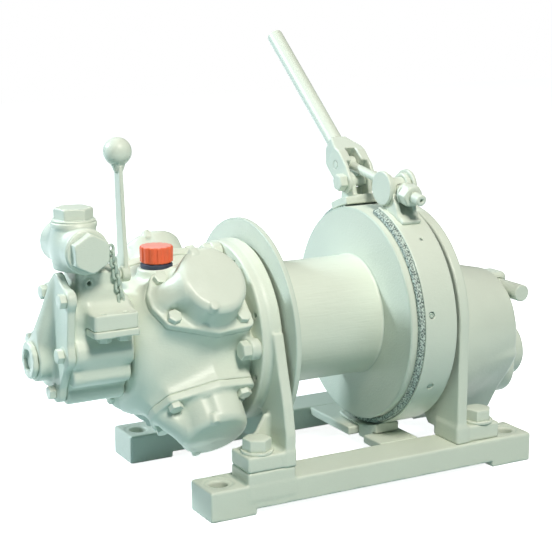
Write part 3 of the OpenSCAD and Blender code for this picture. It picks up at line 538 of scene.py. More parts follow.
class Shader:
    """A material whose nodes are written as calls."""

    def __init__(self, name):
        self.material = bpy.data.materials.new(name)
        self.material.use_nodes = True
        self.tree = self.material.node_tree
        self.surface = self.tree.nodes["Principled BSDF"]

    def add(self, kind, settings, sockets, output=0):
        """Any node: its settings are set first, then its sockets get values or links."""
        node = self.tree.nodes.new(kind)
        for key, value in settings.items():
            setattr(node, key, value)
        for key, value in sockets.items():
            self.put(node.inputs[key], value)
        return Number(self, node.outputs[output])

    def put(self, socket, value):
        if isinstance(value, Number):
            self.tree.links.new(value.socket, socket)
        else:
            socket.default_value = value

    def part(self, vector, index):
        """One of the three numbers of a vector."""
        return self.add("ShaderNodeSeparateXYZ", {}, {0: vector}, index)

    def finish(self, **sockets):
        for key, value in sockets.items():
            self.put(self.surface.inputs[key.replace("_", " ")], value)
        return self.material

    def place(self):
        """Object coordinates, in metres."""
        return self.add("ShaderNodeTexCoord", {}, {}, "Object")

    def noise(self, where, scale, detail=2.0, rough=0.5, distortion=0.0):
        return self.add("ShaderNodeTexNoise", {},
                        {"Vector": where, "Scale": scale, "Detail": detail, "Roughness": rough,
                         "Distortion": distortion}, 0)

    def mix(self, share, a, b):
        return self.add("ShaderNodeMix", {"data_type": "RGBA"}, {0: share, 6: a, 7: b}, 2)

    def stretched(self, where, scale, turn):
        return self.add("ShaderNodeMapping", {}, {"Vector": where, "Rotation": turn, "Scale": scale})

    def bump(self, height, distance):
        return self.add("ShaderNodeBump", {},
                        {"Height": height, "Distance": distance, "Strength": 1.0})


def rgba(colour, share=1.0):
    return (*(c * share for c in colour), 1.0)


def made_once(build):
    """Keeps the first result of a finish, so that every piece shares one material."""
    kept = {}

    def get(*key):
        if key not in kept:
            kept[key] = build(*key)
        return kept[key]

    return get


STROKES = {"turned": ((24, 330, 330), (0, 0, 0), 1.3), "cast": ((170, 170, 420), (0.5, 0.35, 0.6), 0.7)}


@made_once
def enamel(kind):
    """Thick brushed enamel. Broad patches, brush strokes and orange peel make its height; the
    patches and strokes shift its colour. Painted shade darkens the corners, where the surface
    folds in, and a painted highlight lightens the outer edges. A turned piece has its strokes
    across its axis, a cast one has them slanting."""
    paint = bpy.context.scene.winch_paint
    s = Shader("enamel_" + kind)
    where = s.place()
    patch = s.noise(where, 9.0, 3.0)
    scale, slant, weight = STROKES[kind]
    strokes = s.noise(s.stretched(where, scale, slant), 1.0, 2.0, 0.5, 0.4)
    peel = s.noise(where, 210.0, 2.0)
    fold = s.add("ShaderNodeNewGeometry", {}, {}, "Pointiness")
    # Painted shade: where the surface folds in, in corners and creases, the colour darkens towards the
    # corner tint.
    corner = ((0.497 - fold) * 22.0).clamped()
    # Painted highlight: where the surface folds out, on outer edges, the colour lightens.
    painted_edge_highlight = ((fold - 0.512) * 10.0).clamped()
    height = patch * 1.4 + strokes * weight + peel * 0.35
    tone = s.mix((patch * 1.6 - 0.45 + strokes * 0.3).clamped(), rgba(paint.paint, 0.955),
                 rgba(paint.paint, 1.035))
    # The painted shade, then the painted highlight, are mixed into the colour.
    tone = s.mix(corner * 0.75, tone, rgba(paint.shade))
    tone = s.mix(painted_edge_highlight * 0.35, tone, rgba(paint.paint, 1.12))
    return s.finish(Base_Color=tone, Roughness=patch * 0.16 + (paint.gloss - 0.08) + peel * 0.06,
                    Normal=s.bump(height, paint.brush), Specular_IOR_Level=0.45)


@made_once
def woven():
    """Painted woven lining: crossed waves along its own map make the yarns, a noise breaks them,
    and the gaps between them are dark."""
    paint = bpy.context.scene.winch_paint
    s = Shader("woven_lining")
    where = s.add("ShaderNodeTexCoord", {}, {}, "UV")
    u, v = s.part(where, 0), s.part(where, 1)
    wander = s.noise(where, 190.0, 2.0) * 3.0
    weave = (u * 1250.0 + wander).math("SINE") * (v * 1250.0 + wander).math("SINE")
    speck = s.noise(where, 300.0, 2.0, 0.6)
    yarn = (weave * 0.4 + speck * 5.0 - 1.85).clamped()
    tone = s.mix(yarn, rgba(paint.gaps), rgba(paint.lining))
    return s.finish(Base_Color=tone, Roughness=0.85, Normal=s.bump(yarn, 0.0009),
                    Specular_IOR_Level=0.3)


@made_once
def cap_plastic():
    """Moulded plastic: colour varied a little by a slow noise and paler on its upward faces, with a fine
    grain.
    """
    paint = bpy.context.scene.winch_paint
    s = Shader("cap_plastic")
    where = s.place()
    cloud = s.noise(where, 60.0, 2.0)
    tone = s.mix(cloud, rgba(paint.cap, 0.86), rgba(paint.cap, 1.1))
    upward = s.part(s.add("ShaderNodeNewGeometry", {}, {}, "Normal"), 2)
    # Upward faces turn paler, by an amount that the slow noise varies.
    paler_upward = ((upward - 0.45) * 1.6).clamped() * (cloud * 0.5 + 0.4)
    tone = s.mix(paler_upward, tone, (0.93, 0.55, 0.50, 1))
    return s.finish(Base_Color=tone, Roughness=cloud * 0.15 + 0.34,
                    Normal=s.bump(s.noise(where, 900.0), 0.00012))


@made_once
def seal_rubber():
    """Dark seal with dust, which a noise spreads."""
    paint = bpy.context.scene.winch_paint
    s = Shader("seal_rubber")
    dust = s.noise(s.place(), 300.0, 3.0)
    tone = s.mix(dust * 0.5, rgba(paint.seal), rgba(paint.seal, 4.0))
    return s.finish(Base_Color=tone, Roughness=dust * 0.2 + 0.5, Normal=s.bump(dust, 0.0002))


# Fields of the castings


def base_rail(p, side):
    """A rail: a long block with a raised seat at one end, hollow underneath between its end pads,
    with the anchor holes and their spot faces cut out."""
    e = bpy.context.scene.winch_casting.edge
    y0 = side * RAIL_Y
    solid = block(p, (-275, y0 - 33, 0), (275, y0 + 33, RAIL_H), e)
    seat = (119, 173) if side > 0 else (-173, -119)
    solid = merge(solid, block(p, (-217, seat[0], 20), (FRAME_X1, seat[1], SEAT_Z), e), 3)
    relief = np.maximum(span(p[0], -204, 204), p[2] - 9)
    solid = cut(solid, relief + 0 * p[1])
    for x in (-248, 248):
        hole = disc(p[0], p[1], x, y0, 13) + 0 * p[2]
        spot = np.maximum(disc(p[0], p[1], x, y0, 22), RAIL_H - 1 - p[2])
        solid = cut(cut(solid, spot, 1.0), hole, 3.0)
    return solid


def on_ring(a):
    """The place across the motor frame's bolt ring at an angle: Y and Z."""
    return -BOLT_RING * math.cos(a), AXIS_Z - BOLT_RING * math.sin(a)


def motor_frame_field(p):
    """The motor frame: a flared leg plate, the thick ring, two feet and their ribs, less the
    arch between the legs and the ring's row of small holes."""
    e = bpy.context.scene.winch_casting.edge
    half = [(-60, SEAT_Z), (-60, AXIS_Z), (137, AXIS_Z + 23), (154, 188), (166, 149), (174, 108),
            (173, SEAT_Z), (60, SEAT_Z)]
    y = np.abs(p[1])
    legs = outline(y, p[2], half)
    plate = merge(legs, disc(p[1], p[2], 0, AXIS_Z, 134), 4)
    plate = cut(plate, disc(p[1], p[2], 0, SEAT_Z, 117), 3)
    solid = rounded(plate, span(p[0], FRAME_X1 - 16, FRAME_X1), e)
    ring = bar_x(p, FRAME_X0, FRAME_X1, 134, edge=e)
    foot = block((p[0], y, p[2]), (-217, 119, SEAT_Z + 0.1), (FRAME_X1, 173, MOTOR_FOOT_Z), e)
    rib_side = [(-203, 83), (-157, 83), (-157, 128), (-166, 128), (-180, 104)]
    rib = rounded(outline(p[0], p[2], rib_side), span(y, 119, 126.5), e)
    solid = merge(merged(6, solid, foot, rib), ring, 5)
    solid = np.maximum(solid, SEAT_Z + 0.1 - p[2])
    for a in np.radians(np.arange(22.5, 360, 45)):
        hole = disc(p[1], p[2], *on_ring(a), 3.5)
        solid = cut(solid, np.maximum(hole, p[0] - FRAME_X0 - 9), 1.2)
    return solid


def gear_frame_field(p):
    """The gear frame: a plate with a round top and an arch, on two long feet."""
    e = bpy.context.scene.winch_casting.edge
    y = np.abs(p[1])
    plate = np.minimum(disc(p[1], p[2], 0, AXIS_Z, 166),
                       slab_rect(p[1], p[2], (-166, RAIL_H), (166, AXIS_Z), 0.5))
    plate = cut(plate, disc(p[1], p[2], 0, RAIL_H - 46, 103), 3)
    plate = cut(plate, slab_rect(p[1], p[2], (-103, 0), (103, 56.4), 1), 3)
    solid = rounded(plate, span(p[0], PLATE_X0 - 5, PLATE_X1), e)
    foot = block((p[0], y, p[2]), (PLATE_X0 - 5, 109, RAIL_H + 0.1), (219, 166, GEAR_FOOT_Z), e)
    return np.maximum(merge(solid, foot, 9), RAIL_H + 0.1 - p[2])


def crankcase_field(p):
    """The crankcase: a round body with a rounded end, four pads for the heads, four lugs for the
    mounting bolts, the boss of the breather and a small boss low on its end, joined by fillets."""
    form = bpy.context.scene.winch_casting
    body = bar_x(p, CASE_X0, FRAME_X0 + 30, 98, z=MOTOR_Z, edge=26)
    low_boss = bar_x(p, CASE_X0, CASE_X0 + 16, 13, *LOW_BOLT, edge=3)
    body = merge(body, low_boss, form.fillet)
    for angle in HEAD_ANGLES:
        q = head_space(p, angle)
        pad = rounded(outline(q[0], q[1], HEAD_RIM) - HEAD_PAD, span(q[2], 62, FLANGE_Z - 0.1), 2)
        body = merge(body, pad, form.fillet * 1.5)
    for turn in range(4):
        q = tilted(p, (MOUNT_SEAT, 0, AXIS_Z), 90 * turn)
        tongue = np.minimum(disc(q[1], q[2], -BOLT_RING, 0, 15.2),
                            slab_rect(q[1], q[2], (-BOLT_RING, -14), (-50, 14), 1))
        lug = rounded(tongue, span(q[0], 0, 15.8), 3)
        body = merge(body, lug, form.fillet)
    boss = rounded(disc(p[0], p[1], BREATHER[0], BREATHER[1], 28),
                   span(p[2], 270, BREATHER[2] - 0.2), 3)
    body = merge(body, boss, form.fillet)
    return np.maximum(body, p[0] - FRAME_X0 + 0.2)


def head_space(p, angle):
    """The points as a head has them: first along the motor, third out of the motor."""
    return tilted(p, (HEAD_X, 0, MOTOR_Z), 90 - angle)


def head_field(p, angle):
    """A cylinder head: flange, oval cap with a rounded rim, the arched air passage that runs down
    to the flange beside it, a groove down each side of the cap with a small boss at its top, and
    hollows round the bolts."""
    form = bpy.context.scene.winch_casting
    x, y, z = head_space(p, angle)
    flange = rounded(outline(x, y, HEAD_RIM) - HEAD_PAD, span(z, FLANGE_Z, HEAD_Z), 2.4)
    draft = 3 * np.clip((z - HEAD_Z) / 46, 0, 1)
    reach = np.hypot((x - CAP_X) * 57 / 50, y)
    cap = rounded((reach - 57 + draft) * 0.94, span(z, 100, 165 - (reach / 30) ** 2), 9)
    arch = 134 - 1.15 * np.maximum(-42 - x, 0)
    tunnel = np.hypot(y, np.maximum(z - arch, 0)) - 25
    nose = np.minimum(disc(x, y, -51, 0, 25), slab_rect(x, y, (-51, -25), (0, 25), 0.5))
    passage = rounded(nose, tunnel * 0.85, 9)
    solid = merge(cap, passage, form.fillet)
    for side in (-1, 1):
        groove = np.maximum(np.hypot(x + 15, y - side * 56) - 6.5, 124 - z)
        solid = cut(solid, groove, 6)
        boss = rounded(np.hypot(x + 10, y - side * 46) - 6, span(z, 150, 163.6), 1.5)
        solid = merge(solid, boss, 3)
    for u, v in HEAD_CORNERS[::3]:
        solid = cut(solid, np.hypot(x - u, y - v) - 11.6 + 0 * z, 5)
    solid = merge(flange, solid, form.fillet * 0.7)
    for u, v in HEAD_CORNERS:
        solid = cut(solid, np.maximum(np.hypot(x - u, y - v) - 10.8, HEAD_Z - z), 1.0)
    return np.maximum(solid, FLANGE_Z - z)


def chest_field(p):
    """The valve chest: a round body, three passages along its front, the neck that flares into
    it, the block of the exhaust opening and a tapped boss on the neck."""
    form = bpy.context.scene.winch_casting
    x1 = CHEST_X1
    body = bar_x(p, CHEST_X0, x1, 60, z=MOTOR_Z, edge=4)
    for y, z, r in ((-70, 238, 18), (-60, 203, 15), (-34, 173, 15)):
        body = merge(body, bar_x(p, CHEST_X0, -347, r, y, z, edge=4), 3)
    neck = rounded(slab_rect(p[0], p[1], (-420, -75), (-356, -6), 14), span(p[2], 200, 349), 3)
    root = block(p, (CHEST_X0, -75, 218), (x1, -6, 296), 5)
    flare_side = [(CHEST_X0, 285), (x1, 285), (x1, 298), (-362, 326), (-414, 326), (CHEST_X0, 298)]
    flare = rounded(outline(p[0], p[2], flare_side), span(p[1], -75, -6), 5)
    solid = merged(form.fillet, body, root, flare, neck)
    port = rounded(slab_rect(p[0], p[1], (-414, -112), (-350, -60), 5), span(p[2], 275, 297), 1.8)
    slope = rounded(outline(p[1], p[2], [(-98, 280), (-98, 295), (-74, 309), (-60, 309), (-60, 280)]),
                    span(p[0], -413, -351), 4)
    solid = merge(solid, merge(port, slope, 6), 10)
    boss = rounded(disc(p[0], p[2], *TAP, 6.2), span(p[1], -76.6, -70), 0.8)
    solid = merge(solid, boss, 1.5)
    solid = cut(solid, np.maximum(disc(p[0], p[2], *TAP, 3.0), p[1] + 64), 1)
    for x in (-397, -365):
        solid = cut(solid, np.maximum(disc(p[0], p[1], x, -103, 4), 294.6 - p[2]), 0.8)
    plate = np.maximum(slab_rect(p[0], p[1], (-414.5, -115), (-349, -76.7), 3), span(p[2], 264.8, 275.1))
    return np.maximum(cut(solid, plate, 0.6), p[0] - x1)


COVER_BOLTS = ((-12, 315.5), (-84, 316.5), (-68, 237.5), (-31, 177), (50, 234))
COVER_RIM = ((-43, 335, 10), (44, 228, 12), (14, 192, 16), (-31, 177, 14), (-70, 237, 16), (-82, 316, 12))


def end_cover_field(p):
    """The end cover: a three-cornered plate, its round boss, a tapering rib from the boss to the
    top corner, and a raised pad under each bolt with room for its head."""
    form = bpy.context.scene.winch_casting
    rim = np.array(COVER_RIM, float)
    face = outline(p[1], p[2], rim[:, :2]) - 10
    for y, z, r in COVER_RIM:
        face = merge(face, disc(p[1], p[2], y, z, r), 8)
    for y, z in COVER_BOLTS:
        face = merge(face, disc(p[1], p[2], y, z, 12), 6)
    plate = rounded(face, span(p[0], COVER_X0, CHEST_X0 - 0.1), 2.2)
    boss = bar_x(p, COVER_X0 - 20, -432, 31, z=MOTOR_Z, edge=2.5)
    a, b = np.array((-441.0, -32, 328)), np.array((-452.0, 0, MOTOR_Z))
    d = b - a
    w = [c - o for c, o in zip(p, a)]
    t = np.clip((w[0] * d[0] + w[1] * d[1] + w[2] * d[2]) / (d @ d), 0, 1)
    rib = np.sqrt(sum((wc - dc * t) ** 2 for wc, dc in zip(w, d))) - (5 + 18 * t)
    solid = merge(merge(plate, np.maximum(rib, -463 - p[0]), form.fillet), boss, 7)
    for y, z in COVER_BOLTS:
        pad = rounded(disc(p[1], p[2], y, z, 11.5), span(p[0], COVER_X0 - 2, -434), 1)
        room = np.maximum(disc(p[1], p[2], y, z, 11.2), p[0] - COVER_X0 + 2)
        solid = cut(merge(solid, pad, 3), room, 1.5)
    return np.maximum(np.maximum(solid, p[0] - CHEST_X0 + 0.1), -463 - p[0])


def end_plug_field(p):
    """The end plug: a disc with a deep hexagon recess, its paint heaped in the corners."""
    x1 = COVER_X0 - 20.2
    body = bar_x(p, x1 - 8, x1, 26, z=MOTOR_Z, edge=2.5)
    a = np.arctan2(p[2] - MOTOR_Z, p[1])
    well = np.hypot(p[1], p[2] - MOTOR_Z) - hexagon(a, 14.7, 16.4)
    solid = cut(body, np.maximum(well, p[0] - x1 + 3), 1.5)
    return np.maximum(solid + 1.5 * waves((p[0], p[1] * 3, p[2] * 3), 0.4), p[0] - x1)


def valve_field(p):
    """The throttle valve body: an upright and a level tube crossed, with collars at the mouths
    and the bore of the air inlet at the back."""
    x, y, z = VALVE
    upright = rounded(disc(p[0], p[1], x, y, 30), span(p[2], 350, 414.8), 2.5)
    foot_r = 22 + 8 * np.clip((p[2] - 349) / 10, 0, 1)
    foot = np.maximum(np.hypot(p[0] - x, p[1] - y) - foot_r, span(p[2], 349.2, 362))
    collar = rounded(disc(p[0], p[1], x, y, 31.5), span(p[2], 408, 414.8), 1.5)
    level = rounded(disc(p[0], p[2], x, z, 30), span(p[1], y - 48, y + 56), 2.5)
    front = rounded(disc(p[0], p[2], x, z, 31), span(p[1], y - 48, y - 41), 1.5)
    solid = merged(9, np.maximum(upright, 350 - p[2]), level)
    solid = merged(3, solid, foot, collar, front)
    bore = np.maximum(disc(p[0], p[2], x, z, 21), y + 27 - p[1])
    return np.maximum(cut(solid, bore, 2), 349.2 - p[2])


def plug_field(p, origin, up, turn):
    """A hexagon plug: a round collar, then a hexagon drawn in at its top by a chamfer."""
    q = seen_from(p, origin, *[tuple(c) for c in frame_along(up).T])
    reach = np.hypot(q[0], q[1])
    flats = hexagon(np.arctan2(q[1], q[0]) + math.radians(turn), 23.8, 27.0)
    head = rounded((reach - flats) * 0.95, span(q[2], 0.1, 19), 1.6)
    head = np.maximum(head, (reach + q[2] - 43.5) * 0.7)
    collar = rounded(reach - 30, span(q[2], 0.1, 3.2), 1.2)
    return merge(head, collar, 2)


def lever_field(p):
    """The throttle lever: a hub about X and a flat bar that narrows upwards."""
    q = tilted(p, THROTTLE, THROTTLE_LEAN)
    hub = rounded(np.hypot(q[1], q[2]) - 11, span(q[0], 0, 12), 1.5)
    t = np.clip(q[2] / 150, 0, 1)
    wide = np.abs(q[1] - 4 * (1 - t)) - 13.5 + 4 * t
    bar = rounded(rounded(wide, span(q[2], 0, 151.2), 1), span(q[0], 3, 9), 1.6)
    return merge(hub, bar, 4)


RIVET = ((1.2, -0.8), (1.4, 1.3), (2.2, 2.1), (3.4, 1.9), (4.1, 0.9), (4.1, -0.8))


def band_field(p):
    """The steel band: a thin ring open at the top, with a countersunk hole for each rivet."""
    rho = np.hypot(p[1], p[2] - AXIS_Z)
    angle = np.arctan2(p[2] - AXIS_Z, -p[1])
    strip = rounded(span(rho, BAND_R - 2.9, BAND_R), span(p[0], 74, 128.8), 0.7)
    strip = np.maximum(strip, (math.radians(14) - np.abs(angle - math.pi / 2)) * BAND_R)
    for x, degrees in RIVETS:
        off = np.mod(angle - math.radians(degrees) + math.pi, 2 * math.pi) - math.pi
        reach = np.hypot(p[0] - x, off * BAND_R)
        strip = cut(strip, reach - (2.6 if (x, degrees) == RIVETS[0] else 5.2), 0.6)
    return strip


def ear_field(p, centre, foot, ring, hole, ring_angles, clamp=None):
    """An ear: two cheeks with a round eye on a saddle that follows the band and, where the
    lining ends, a web between the cheeks and a clamp over the lining's width."""
    side = np.minimum(disc(p[1], p[2], centre[1], centre[2], ring), outline(p[1], p[2], foot))
    cheek = rounded(side, np.abs(np.abs(p[0] - EAR_X) - 14.25) - 3.75, 1.4)
    rho = np.hypot(p[1], p[2] - AXIS_Z)
    low, high = (math.radians(a) for a in ring_angles)
    angle = np.arctan2(p[2] - AXIS_Z, -p[1])
    sector = rounded(span(rho, BAND_R - 4, BAND_R + 6), span(angle, low, high) * BAND_R, 2)
    saddle = rounded(sector, np.abs(p[0] - EAR_X) - 16.5, 2)
    solid = merge(cheek, saddle, 5)
    inner = BAND_R + 0.1
    if clamp:
        web = block(p, (EAR_X - 15, 64, 380), (EAR_X + 15, 71, 409), 1)
        solid = merge(solid, web, 3)
        hood = rounded(span(rho, BAND_R - CLAMP_IN, BAND_R + 4), span(angle, low, high) * BAND_R, 2)
        hood = rounded(hood, span(p[0], *clamp), 1.5)
        solid = merge(np.maximum(solid, inner - rho), hood, 2)
        inner = BAND_R - CLAMP_IN
    solid = cut(solid, disc(p[1], p[2], centre[1], centre[2], hole) + 0 * p[0], 1.2)
    return np.maximum(solid, inner - rho)


def fork_field(p):
    """The fork of the brake lever: a tapering block with a wide slot for the ear, a narrow slot
    for the link, both pin holes and its sides drawn in towards the lever."""
    x, y, z = tilted(p, PIVOT, LEVER_RISE)
    side = [(-4, -17.5), (37, -20), (66, -18.5), (86, -13), (86, 13), (66, 19), (44, 26), (14, 24),
            (-4, 17.5)]
    face = np.minimum(np.hypot(y, z) - 18, outline(y, z, side))
    half = 25 - np.clip((y - 56) * math.tan(math.radians(20)), 0, 12)
    solid = rounded(face, np.abs(x) - half, 2.2)
    wide = rounded(np.abs(x) - 18.4, y - 23, 2)
    narrow = rounded(np.abs(x) - 9, y - 51, 3)
    solid = cut(cut(solid, wide + 0 * z, 2), narrow + 0 * z, 2)
    for centre, r in ((PIVOT, 8.2), (LINK_PIN, 6.2)):
        solid = cut(solid, disc(p[1], p[2], centre[1], centre[2], r) + 0 * p[0], 1.4)
    return solid


ROD_TILT = math.degrees(math.atan2(LINK_PIN[2] - TRUNNION[2], LINK_PIN[1] - TRUNNION[1]))
ROD_RUN = math.hypot(LINK_PIN[2] - TRUNNION[2], LINK_PIN[1] - TRUNNION[1])
NUT_FROM = ROD_RUN + 31.1


def rod_space(p):
    """The points as the link rod has them: third along the rod from its pin."""
    return tilted(p, LINK_PIN, 90 + ROD_TILT)


def trunnion_field(p):
    """The trunnion: a pin between two round discs, pierced by the link rod."""
    reach = np.hypot(p[1] - TRUNNION[1], p[2] - TRUNNION[2])
    x = np.abs(p[0] - EAR_X)
    core = np.maximum(reach - 15, x - 20)
    ends = rounded(reach - 26, span(x, 18.35, 24.3), 1.4)
    q = rod_space(p)
    return cut(np.minimum(core, ends), np.hypot(q[0], q[1]) - 7.9, 0.6)


def rod_field(p):
    """The link rod: a round bar with an eye at its pin and a thicker end with a centre hole."""
    q = rod_space(p)
    reach = np.hypot(q[0], q[1])
    rod = rounded(reach - 7, span(q[2], 0, NUT_FROM + 24), 1)
    end = rounded(reach - 8.6, span(q[2], NUT_FROM + 22.2, NUT_FROM + 43), 2.5)
    eye = rounded(np.hypot(q[1], q[2]) - 12, np.abs(q[0]) - 8.2, 1.4)
    solid = merged(3, rod, end, eye)
    solid = cut(solid, np.maximum(reach - 2.6, NUT_FROM + 36 - q[2]), 1.5)
    return cut(solid, np.hypot(q[1], q[2]) - 6.1 + 0 * q[0], 1)


def nut_field(p):
    """The long nut: sleeve, round collar and hexagon on one bore."""
    q = rod_space(p)
    z = q[2] - NUT_FROM
    reach = np.hypot(q[0], q[1])
    sleeve = rounded(reach - 9, span(z, -16, 2), 0.8)
    collar = rounded(reach - 17, span(z, 0, 4), 1)
    flats = hexagon(np.arctan2(q[1], q[0]), 15, 16.9)
    nut = np.maximum(rounded(reach - flats, span(z, 2, 22), 1.4), (reach + z - 36) * 0.7)
    return cut(np.minimum(np.minimum(sleeve, collar), nut), reach - 7.15 + 0 * z, 0.8)


def gear_case_field(p):
    """The gear case: a tapering drum whose underside runs down to a narrow sump."""
    x0 = PLATE_X1 + 0.2
    drum = bar_x(p, x0 - 8, GEAR_X1, 125, z=GEAR_Z, r1=92, edge=7)
    sump = outline(p[1], p[2], [(-85, 145), (-22, 45), (22, 45), (85, 145)]) - 3
    sump = rounded(sump, span(p[0], x0 - 8, GEAR_X1), 6)
    return np.maximum(merge(drum, sump, 16), x0 - p[0])


def gear_cover_field(p):
    """The gear case's end cover: two overlapping round bosses on a shallow disc and the housing
    of the clutch bar, with the bar's hole."""
    x0 = GEAR_X1 + 0.2
    upper = bar_x(p, x0 - 8, 361, 45, 0, 131, edge=6)
    lower = bar_x(p, x0 - 8, 340, 49, 0, 110, edge=6)
    shallow = bar_x(p, x0 - 8, 321, 74, 0, GEAR_Z, edge=5)
    housing = block(p, (x0 - 8, -22, 170), (339, 22, 265), 9)
    solid = merged(10, np.minimum(upper, lower), shallow, housing)
    hole = disc(p[0], p[2], *CLUTCH, 13.8) + 0 * p[1]
    return np.maximum(cut(solid, hole, 1.5), x0 - p[0])


# Operators, one for each piece or group of like pieces


class WINCH_OT_base(bpy.types.Operator):
    """Make the two rails, their cross plate and the band's anchor."""

    bl_idname = "winch.base"
    bl_label = "Base rails"

    def execute(self, context):
        for node, side in (("rail_front", -1), ("rail_back", 1)):
            cast(node + "_beam", node, lambda p, s=side: base_rail(p, s), 2.6, wave=0.1)
        cross = lambda p: cut(block(p, (43, -106.9, 31.4), (111, 106.9, RAIL_H), 1.5),
                              block(p, (30, -57, 20), (102, -14, 60), 1), 1)
        cast("cross_member", "cross_plate", cross, 2.2, wave=0.1)
        anchor = lambda p: np.maximum(
            merge(block(p, (60, -66, 45.4), (102, 46, 75), 2),
                  block(p, (60, -55.5, 28.4), (100.5, -15.5, 50), 2), 2),
            BAND_R + 0.2 - np.hypot(p[1], p[2] - AXIS_Z))
        cast("band_anchor_block", "band_anchor", anchor, 2.0, wave=0.1)
        return {"FINISHED"}


class WINCH_OT_frames(bpy.types.Operator):
    """Make the motor frame and the gear frame."""

    bl_idname = "winch.frames"
    bl_label = "Frames"

    def execute(self, context):
        cast("motor_frame_casting", "motor_frame", motor_frame_field, 2.4, wave=0.15)
        cast("gear_frame_casting", "gear_frame", gear_frame_field, 2.4, wave=0.15, grow=5)
        return {"FINISHED"}


class WINCH_OT_motor(bpy.types.Operator):
    """Make the crankcase and the four cylinder heads."""

    bl_idname = "winch.motor"
    bl_label = "Motor castings"

    def execute(self, context):
        cast("crankcase_casting", "crankcase", crankcase_field)
        for i, angle in enumerate(HEAD_ANGLES, 1):
            field = lambda p, a=angle: head_field(p, a)
            cast(f"head_casting_{i}", f"cylinder_head_{i}", field, 2.0, grow=15)
        return {"FINISHED"}


class WINCH_OT_valve(bpy.types.Operator):
    """Make the valve chest, its end cover and plug, the exhaust plate and the throttle valve."""

    bl_idname = "winch.valve"
    bl_label = "Valve gear"

    def execute(self, context):
        cast("valve_chest_casting", "valve_chest", chest_field, 2.0)
        cast("end_cover_casting", "valve_end_cover", end_cover_field, 1.8)
        cast("end_plug_turned", "end_plug", end_plug_field, 1.0)
        plate = lambda p: rounded(slab_rect(p[0], p[1], (-414.5, -114), (-348.5, -77), 5),
                                  span(p[2], 265, 274.9), 1.8)
        cast("exhaust_flange", "exhaust_plate", plate, 1.6)
        cast("valve_body_casting", "throttle_valve", valve_field, 1.8)
        top = (VALVE[0], VALVE[1], 415.0)
        front = (VALVE[0], VALVE[1] - 48.0, VALVE[2])
        cast("top_plug_hex", "top_plug", lambda p: plug_field(p, top, (0, 0, 1), 18), 1.3, wave=0.2)
        cast("front_plug_hex", "front_plug", lambda p: plug_field(p, front, (0, -1, 0), 28), 1.3, wave=0.2)
        return {"FINISHED"}


class WINCH_OT_breather(bpy.types.Operator):
    """Make the ribbed breather cap and the ring under it."""

    bl_idname = "winch.breather"
    bl_label = "Breather"

    def execute(self, context):
        x, y, z = BREATHER
        profile = round_path([(0.5, 0), (23.2, 0), (23.8, 22), (22.6, 24.6), (0.5, 25)], 2.0, 5)
        count = 192
        points, faces = round_stack(profile, count)
        a = np.arctan2(points[:, 1], points[:, 0])
        reach = np.hypot(points[:, 0], points[:, 1])
        ridge = np.clip(0.75 + 2.2 * np.cos(14 * a), 0, 1) * (reach > 18) * (points[:, 2] > 1.5)
        shrink = 1 - 1.7 * (1 - ridge) * (reach > 18) / np.maximum(reach, 1)
        points[:, :2] *= shrink[:, None]
        make_piece("breather_cap_moulding", points + (x, y, z + BREATHER_BASE), faces, cap_plastic(),
                   ["breather_cap"], "orange_plastic")
        ring = round_path([(0.5, 0), (22.5, 0), (23, 1), (23, 5.5), (21, 6), (21, 7), (0.5, 7)], 0.6)
        points, faces = round_stack(ring, 96)
        make_piece("breather_seal", points + (x, y, z), faces, seal_rubber(), ["breather_ring"],
                   "black_plastic")
        return {"FINISHED"}


class WINCH_OT_throttle(bpy.types.Operator):
    """Make the throttle lever with its stem and knob, and the keeper chain."""

    bl_idname = "winch.throttle"
    bl_label = "Throttle lever"

    def execute(self, context):
        spindle = [(6, 0), (7, 1), (7, 14), (6, 14.8)]
        make_piece("throttle_spindle", *placed_stack(spindle, (-355.9, *THROTTLE[1:]), (1, 0, 0), 32),
                   enamel("cast"), ["throttle_stem"])
        cast("throttle_lever_bar", "throttle_lever", lever_field, 1.4, wave=0.1)
        a = np.linspace(math.radians(-58), math.radians(89.5), 30)
        ball = np.stack([KNOB_R * np.cos(a), KNOB_R * np.sin(a)], 1)
        points, faces = round_stack(np.concatenate([[(5.5, -29), (6.5, -27)], ball]), 64)
        c, s = math.cos(math.radians(THROTTLE_LEAN)), math.sin(math.radians(THROTTLE_LEAN))
        centre = (THROTTLE[0] + 6, THROTTLE[1] - KNOB_OUT * s, THROTTLE[2] + KNOB_OUT * c)
        make_piece("throttle_ball", placed(points, centre, frame_along((0, -s, c))), faces,
                   enamel("cast"), ["throttle_knob"])
        make_piece("keeper_chain_links", *chain_links(9), enamel("cast"), ["keeper_chain"])
        return {"FINISHED"}


def chain_links(count, wire=2.2, wide=4.1, straight=4.6):
    """A chain of oval links, every second one turned by a quarter: a small circle carried along
    an oval made of two half circles and the straights between them."""
    t = np.linspace(0, 2 * math.pi, 28, endpoint=False)
    line = np.stack([wide * np.cos(t), 0 * t, wide * np.sin(t) + np.sign(np.sin(t)) * straight / 2], 1)
    ahead = np.roll(line, -1, axis=0) - np.roll(line, 1, axis=0)
    ahead /= np.linalg.norm(ahead, axis=1)[:, None]
    side = np.array((0.0, 1.0, 0.0))[None] + 0 * ahead
    out = np.cross(ahead, side)
    b = np.linspace(0, 2 * math.pi, 10, endpoint=False)[None, :, None]
    tube = line[:, None] + wire * (np.cos(b) * out[:, None] + np.sin(b) * side[:, None])
    faces = grid_faces(28, 10, close_rows=True)
    shapes = []
    start, pitch = np.array((-375.6, -80, 379)), np.array((1.6, 0, -8.6))
    for i in range(count):
        turn = Matrix.Rotation(math.radians(90 * (i % 2) + 14), 3, "Z")
        origin = start + i * pitch
        shapes.append((placed(tube.reshape(-1, 3), origin, turn), faces))
    return stacked(shapes)


